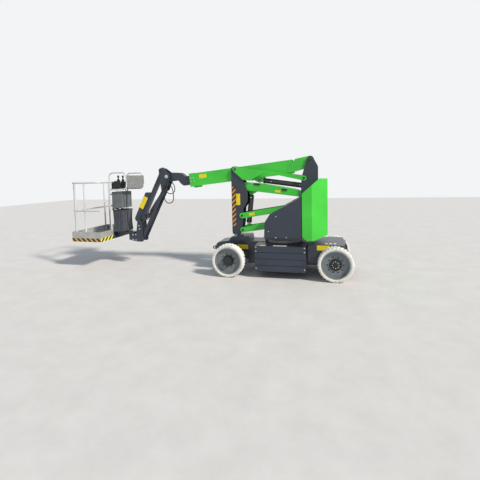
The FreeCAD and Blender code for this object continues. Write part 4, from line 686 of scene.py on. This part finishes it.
def cylinder_glands():
    """The screwed gland at each barrel's mouth, and the two hose ports along it. Each cylinder has
    its two pivots, its barrel's and rod's diameters, and the rod's length past the mouth, in mm."""
    cylinders = [
        ("tower_cylinder", "tower_lug_upper", "tower_lug_lower", 92, 56, 62),
        ("boom_cylinder", "boom_cylinder_base", "boom_lug", 90, 56, 70),
        ("jib_cylinder", "jib_link_head", "jib_lug", 72, 40, 38),
    ]
    for name, base, tip, barrel, rod, rod_shown in cylinders:
        start, end = (at(x, 0, z) for x, z in (PIVOTS[base], PIVOTS[tip]))
        axis = (end - start).normalized()
        reach = (end - start).length - rod_shown / 1000
        r, inner = barrel / 2000, rod / 2000
        gland = [(inner + 0.0006, -0.036), (r + 0.0005, -0.036), (r + 0.003, -0.034), (r + 0.003, -0.006),
                 (r - 0.002, 0.0008), (inner + 0.006, 0.001), (inner + 0.0006, 0.003)]
        verts, faces = turned([start + axis * reach], axis, (56, gland))
        piece(f"{name}_gland", verts, faces, "black_enamel", f"{name}_barrel")
        side = Vector((0, 1, 0))
        feet = [start + axis * reach * share + side * (r - 0.002) for share in (0.16, 0.82)]
        port = [(0.012, 0), (0.012, 0.010), (0.0105, 0.012), (0.0105, 0.022), (0.008, 0.024)]
        verts, faces = turned(feet, side, (6, port))
        piece(f"{name}_ports", verts, faces, "zinc", f"{name}_barrel")


def rest_pads():
    """Two black rest pads along the top edge of the upper arm's box, on its slope."""
    depth, fall = 30, 13
    for name, x1, x2, z in (("front", 392, 500, 1552), ("rear", -82, 5, 1448)):
        corners = [(x2, 98, z), (x2, 98, z + depth), (x1, 98, z + depth - fall), (x1, 98, z - fall)]
        sheet_plate(f"rest_pad_{name}", corners, 12, "pad", "upper_arm_bottom", 4)


def collar_bolts():
    """Adjusting bolts of the wear pads in the boom's front collar."""
    for side, out in SIDES:
        places = [boom_place(along, 94 * out, rise) for along in (2146, 2200) for rise in (-110, -50)]
        fasteners(f"collar_bolts_{side}", places, (0, out, 0), 17, "boom")


def support_bolts():
    """The bolts of the rotator and of the hoses' bracket, on the jib's end bracket."""
    for side, out in SIDES:
        places = [(x, 96 * out, z) for x, z in
                  ((2958, 606), (2894, 612), (2958, 508), (2894, 500), (2818, 786), (2806, 724))]
        fasteners(f"support_bolts_{side}", places, (0, out, 0), 20, "support")


# Platform

PLATFORM_FRONT, PLATFORM_REAR, PLATFORM_HALF = 3983, 3355, 545
SILL, DECK = 533, 600


def platform_tapes():
    """Hazard tape along the platform's edge: yellow towards the machine, and on the near side the same yellow
    tape darkened to amber as painted shade.
    """
    # the near side's tape is darkened to amber as painted shade
    near = [(x, PLATFORM_HALF, z) for x, z in ((PLATFORM_FRONT, SILL), (PLATFORM_FRONT, DECK),
                                               (PLATFORM_REAR, DECK), (PLATFORM_REAR, SILL))]
    sheet_plate("edge_tape_near", near, 0.6, "shaded_near_edge_tape", "platform", 2)
    tape_end = 152
    rear = [(PLATFORM_REAR, y, z) for y, z in ((PLATFORM_HALF, SILL), (PLATFORM_HALF, DECK),
                                               (tape_end, DECK), (tape_end, SILL))]
    sheet_plate("edge_tape_rear", rear, 0.6, "rear_tape", "platform", 2)


def joystick(name, x, y):
    """A proportional joystick: pleated boot, and a rounded knob over the stick."""
    boot = [(0.030, -0.001), (0.031, 0.004), (0.023, 0.008), (0.026, 0.012), (0.018, 0.017),
            (0.021, 0.021), (0.013, 0.026), (0.015, 0.030), (0.0095, 0.036)]
    verts, faces = turned([at(x, y, 1682)], (0, 0, 1), (40, boot))
    piece(f"{name}_boot", verts, faces, "hose", "platform", smooth=True)
    knob = [(0.0095, -0.006), (0.0175, -0.001), (0.0198, 0.010), (0.0198, 0.024), (0.0182, 0.034),
            (0.0140, 0.041), (0.0070, 0.0445)]
    verts, faces = turned([at(x, y, 1736)], (0, 0, 1), (40, knob))
    piece(f"{name}_knob", verts, faces, "console", "platform", smooth=True)


def console_details():
    """The console's pale panel, the two joysticks, the buttons and the screws in its rear face."""
    panel = [(3352, -118, 1642), (3172, -118, 1659), (3172, 118, 1659), (3352, 118, 1642)]
    sheet_plate("console_panel", panel, 1.2, "cabinet", "platform", 10)
    joystick("joystick_lift", 3236, -78)
    joystick("joystick_drive", 3236, 78)
    cap = [(0.0125, -0.004), (0.0125, 0.002), (0.011, 0.005), (0.004, 0.006)]
    for step, finish in enumerate(["red_button", "white_button", "console", "console", "red_button"]):
        verts, faces = turned([at(3311, -90 + 45 * step, 1668)], (0, 0, 1), (32, cap))
        piece(f"console_button_{step + 1}", verts, faces, finish, "platform")
    places = [(3166, y, z) for y in (-112, 112) for z in (1524, 1640)]
    fasteners("console_screws", places, (-1, 0, 0), 9, "platform")


def platform_fixings():
    """Screws of the guard sheet and the cabinet, and the bolts of the platform's bracket."""
    sheet = [(2986, y, z) for y in (-450, -300, -142, 16, 165) for z in (1612, 1764)]
    fasteners("guard_sheet_screws", sheet, (-1, 0, 0), 10, "platform")
    cabinet = [(3145, y, z) for y in (-207, 123) for z in (1150, 1300, 1450)]
    fasteners("cabinet_screws", cabinet, (-1, 0, 0), 9, "platform")
    bracket = [(PLATFORM_REAR, y, 560) for y in (-130, -100, 100, 130)]
    fasteners("platform_bracket_bolts", bracket, (-1, 0, 0), 18, "platform")


def post_sockets():
    """Pressed sockets round the posts' feet, where they stand on the deck."""
    inset, corner, gate = 22, 70, 3683
    front, rear, side = PLATFORM_FRONT - inset, PLATFORM_REAR + inset, PLATFORM_HALF - inset
    feet = [(front, side - corner), (front, corner - side), (front - corner, side), (gate, side),
            (rear, 165), (rear, -450), (gate, -side), (front - corner, -side)]
    socket = [(0.0153, 0.062), (0.0185, 0.060), (0.0185, 0.006), (0.025, 0.0015), (0.025, 0), (0.0153, 0)]
    verts, faces = turned([at(x, y, DECK) for x, y in feet], (0, 0, 1), (28, socket))
    piece("post_sockets", verts, faces, "rail_enamel", "platform")


# Tool bag

BAG_FOOT, BAG_TOP = 672, 1100
BAG_REAR, BAG_FRONT = 3120, 3351
BAG_LEFT, BAG_RIGHT = 150, -225
STRAPS = (-190, -40, 110)


def bag_ring(height):
    """One level of the tool bag, from 0 at its foot to 1 at its top: a rounded trapezoid whose sides
    hang slack between the straps."""
    drop = 1 - height
    flare, corner = 15, 34
    # half way down, the sides hang 12 mm in and the rear hangs 14 mm in
    side_hang, rear_hang = 12 * math.sin(math.pi * drop), 14 * 4 * drop * height
    rear, left, right = BAG_REAR + rear_hang, BAG_LEFT - side_hang, BAG_RIGHT + side_hang
    tips = [Vector(tip) for tip in ((BAG_FRONT, right - flare), (BAG_FRONT, left + flare),
                                    (rear, left), (rear, right))]
    bends = []
    for i, tip in enumerate(tips):
        back = (tips[i - 1] - tip).normalized() * corner
        on = (tips[(i + 1) % 4] - tip).normalized() * corner
        bends.append(bend(tip + back, tip, tip + on, 8))
    outline = []
    for i, corner_points in enumerate(bends):
        after = bends[(i + 1) % 4][0]
        outline += corner_points + [corner_points[-1].lerp(after, k / 20) for k in range(1, 20)]
    middle = sum(outline, Vector((0, 0))) / len(outline)
    points = []
    for i, point in enumerate(outline):
        turn = 2 * math.pi * i / len(outline)
        near = min(abs(point.y - y) for y in STRAPS)
        slack = 0
        if point.x > BAG_FRONT - 2:
            slack = 16 * (1 - math.exp(-(near / 55) ** 2)) * height ** 3
        # eleven folds go round the bag, deepest half way down, and twenty-three shallow ones
        fold = 5 * math.sin(turn * 11 + 3 * drop) * (0.35 + 2.4 * drop * height)
        fold += 3 * math.sin(turn * 23 + 9 * drop)
        inward = (middle - point).normalized() * (max(fold, -1.5) + 3 + slack)
        sag = 10 * (1 - math.exp(-(near / 50) ** 2)) * height ** 6
        points.append((point.x + inward.x, point.y + inward.y,
                       BAG_FOOT + (BAG_TOP - BAG_FOOT) * height - sag))
    return points


def tool_bag():
    """The cloth bag that hangs from the middle rail on three webbing loops, open at the top: slack
    sides with folds, a wavy bottom and a hem."""
    levels = 34
    rings = [bag_ring(k / levels) for k in range(levels + 1)]
    count = len(rings[0])
    verts = [at(*p) for ring in rings for p in ring]
    faces = walls(levels, count)
    centre = sum((Vector(p[:2]) for p in rings[0]), Vector((0, 0))) / count
    outer = 0
    for share in (0.75, 0.5, 0.25):
        inner = len(verts)
        for x, y, _ in rings[0]:
            spot = centre.lerp(Vector((x, y)), share)
            wave = 3.6 * share ** 2 * math.sin(x / 17) + 2 * math.sin(y / 13)
            verts.append(at(spot.x, spot.y, BAG_FOOT + wave))
        faces += [(outer + (i + 1) % count, outer + i, inner + i, inner + (i + 1) % count)
                  for i in range(count)]
        outer = inner
    verts.append(at(centre.x, centre.y, BAG_FOOT + 2))
    faces += [(outer + (i + 1) % count, outer + i, len(verts) - 1) for i in range(count)]
    bag = piece("hanging_tool_bag", verts, faces, "cloth", "platform", smooth=True)
    thick = bag.modifiers.new("cloth_thickness", "SOLIDIFY")
    thick.thickness = 0.002
    thick.offset = -1
    smooth = bag.modifiers.new("soft_folds", "SUBSURF")
    smooth.levels = smooth.render_levels = 1
    straps = bag_straps()
    hem = round_bar("bag_hem", [*rings[-1][::3], rings[-1][0]], 4.5, "cloth", "platform")
    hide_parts("tool_bag")


def bag_straps():
    """Webbing loops, 30 mm wide and 1.8 mm thick, sewn to the bag and passed over the middle rail."""
    thick = 1.8
    rail_x, rail_z, wrap = 3377, 1118, 16
    around = [math.radians(195 - 15 * k) for k in range(18)]
    line = [(3351.5, 1040), (3351.5, 1075), (3354, 1100)]
    line += [(rail_x + wrap * math.cos(a), rail_z + wrap * math.sin(a)) for a in around]
    line += [(3366, 1098), (3356, 1080), (3353.8, 1045)]
    # the webbing's section as places across and through it, with its edges worn round
    section = [(-15, 0.5), (-13.5, 0), (0, 0), (13.5, 0), (15, 0.5)]
    section += [(across, thick - through) for across, through in reversed(section)]
    count = len(section)
    made = []
    for number, y in enumerate(STRAPS, start=1):
        verts = []
        for i, (x, z) in enumerate(line):
            before, after = Vector(line[max(i - 1, 0)]), Vector(line[min(i + 1, len(line) - 1)])
            along = (after - before).normalized()
            for across, through in section:
                verts.append(at(x - along.y * through, y + across, z + along.x * through))
        faces = walls(len(line) - 1, count)
        faces += [tuple(reversed(range(count))), tuple(range(len(verts) - count, len(verts)))]
        made.append(piece(f"bag_strap_{number}", verts, faces, "hose", "platform"))
    return made


# Hoses and cable

CORDS = {
    "hose_head_upper": ("level_head", [
        (2140, 104.2, 1690), (2068, 104.2, 1625), (2024, 104.2, 1545), (2021, 104.2, 1462),
        (2075, 104.2, 1408), (2151, 104.2, 1408), (2205, 104.2, 1462), (2208, 104.2, 1572)]),
    "hose_head_lower": ("level_head", [
        (2180, 104.2, 1640), (2110, 119, 1580), (2060, 124.2, 1505), (2046, 124.2, 1400),
        (2044, 124.2, 1285), (2098, 124.2, 1231), (2174, 124.2, 1231), (2228, 124.2, 1285),
        (2232, 124.2, 1390), (2230, 114, 1480), (2232, 104.2, 1562)]),
    "control_cable": ("platform", [
        (3147.2, 110, 1550), (3084, 111, 1528), (3048, 110, 1470), (3042, 108, 1398),
        (3058, 98, 1298), (3072, 86, 1190), (3076, 76, 1070), (3078, 68, 950), (3072, 60, 830),
        (3060, 54, 740), (3048, 44, 678.4)]),
}
CORD_R = 8


def cords():
    """The two hydraulic hoses looped beside the head and the console's cable, at their real length."""
    for name, (body, points) in CORDS.items():
        made = round_bar(f"rubber_{name}", points, CORD_R, "hose", body, 16)
        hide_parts(name)
        bare = made.copy()
        bare.data = made.data.copy()
        bare.data.bevel_depth = 0
        line = bpy.data.meshes.new_from_object(bare)
        bpy.data.objects.remove(bare)
        bpy.data.meshes.remove(line)


# Stage

def concrete_yard():
    """The yard's worn concrete: pale, matt and faintly cloudy."""
    material, tree, shader, place = new_material("yard_concrete")
    cloud = add(tree, "ShaderNodeTexNoise", {"Vector": place, "Scale": every(333), "Detail": 9,
                                            "Roughness": 0.7})
    tone = add(tree, "ShaderNodeValToRGB", {"Fac": cloud.outputs["Fac"]},
               stops=[(0.3, "CAC4BE"), (0.7, "D5CFC9")])
    fill(tree, shader, {"Base Color": tone.outputs["Color"], "Roughness": 0.9})
    size, steps = 40, 8
    lines = [size * (k / steps - 0.5) for k in range(steps + 1)]
    verts = [(x, y, 0) for y in lines for x in lines]
    row = len(lines)
    faces = [(k, k + 1, k + row + 1, k + row) for y in range(steps) for k in range(y * row, y * row + steps)]
    mesh = bpy.data.meshes.new("yard")
    mesh.from_pydata(verts, [], faces)
    mesh.materials.append(material)
    yard = bpy.data.objects.new("yard", mesh)
    scene.collection.objects.link(yard)


def sunlight():
    """The sun behind the viewer's right shoulder, a little hazy."""
    sun = bpy.data.lights.new("sun", "SUN")
    sun.energy = 3.8
    sun.angle = math.radians(7)
    sun.color = (1.0, 0.97, 0.92)
    lamp = bpy.data.objects.new("sun", sun)
    # the shadows in the photograph run this far for a metre of height
    lamp.rotation_euler = Vector((1.15, -0.5, -1)).to_track_quat("-Z", "Y").to_euler()
    scene.collection.objects.link(lamp)


def pale_sky():
    """A soft blue sky gives the light; the camera, gloss and glass see a paler one."""
    world = bpy.data.worlds.new("pale_sky")
    scene.world = world
    world.use_nodes = True
    tree = world.node_tree
    light = tree.nodes["Background"]
    fill(tree, light, {"Color": "CBDCEF", "Strength": 0.62})
    backdrop = add(tree, "ShaderNodeBackground", {"Color": "F2F4F5", "Strength": 1.0})
    ray = add(tree, "ShaderNodeLightPath").outputs
    direct = add(tree, "ShaderNodeMath", {0: ray["Is Camera Ray"], 1: ray["Is Glossy Ray"]},
                 operation="MAXIMUM")
    shown = add(tree, "ShaderNodeMath", {0: direct.outputs["Value"], 1: ray["Is Transmission Ray"]},
                operation="MAXIMUM")
    both = add(tree, "ShaderNodeMixShader", {"Fac": shown.outputs["Value"], 1: light.outputs["Background"],
                                            2: backdrop.outputs["Background"]})
    fill(tree, tree.nodes["World Output"], {"Surface": both.outputs["Shader"]})


photograph_camera()
cords()
finish_nodes()
build_wheels()
battery_cover_bolts()
blank_plates()
cover_screws()
pin_keepers()
pin_caps()
cylinder_glands()
rest_pads()
collar_bolts()
support_bolts()
platform_tapes()
console_details()
platform_fixings()
post_sockets()
tool_bag()
concrete_yard()
sunlight()
pale_sky()
scene.view_settings.view_transform = "Standard"
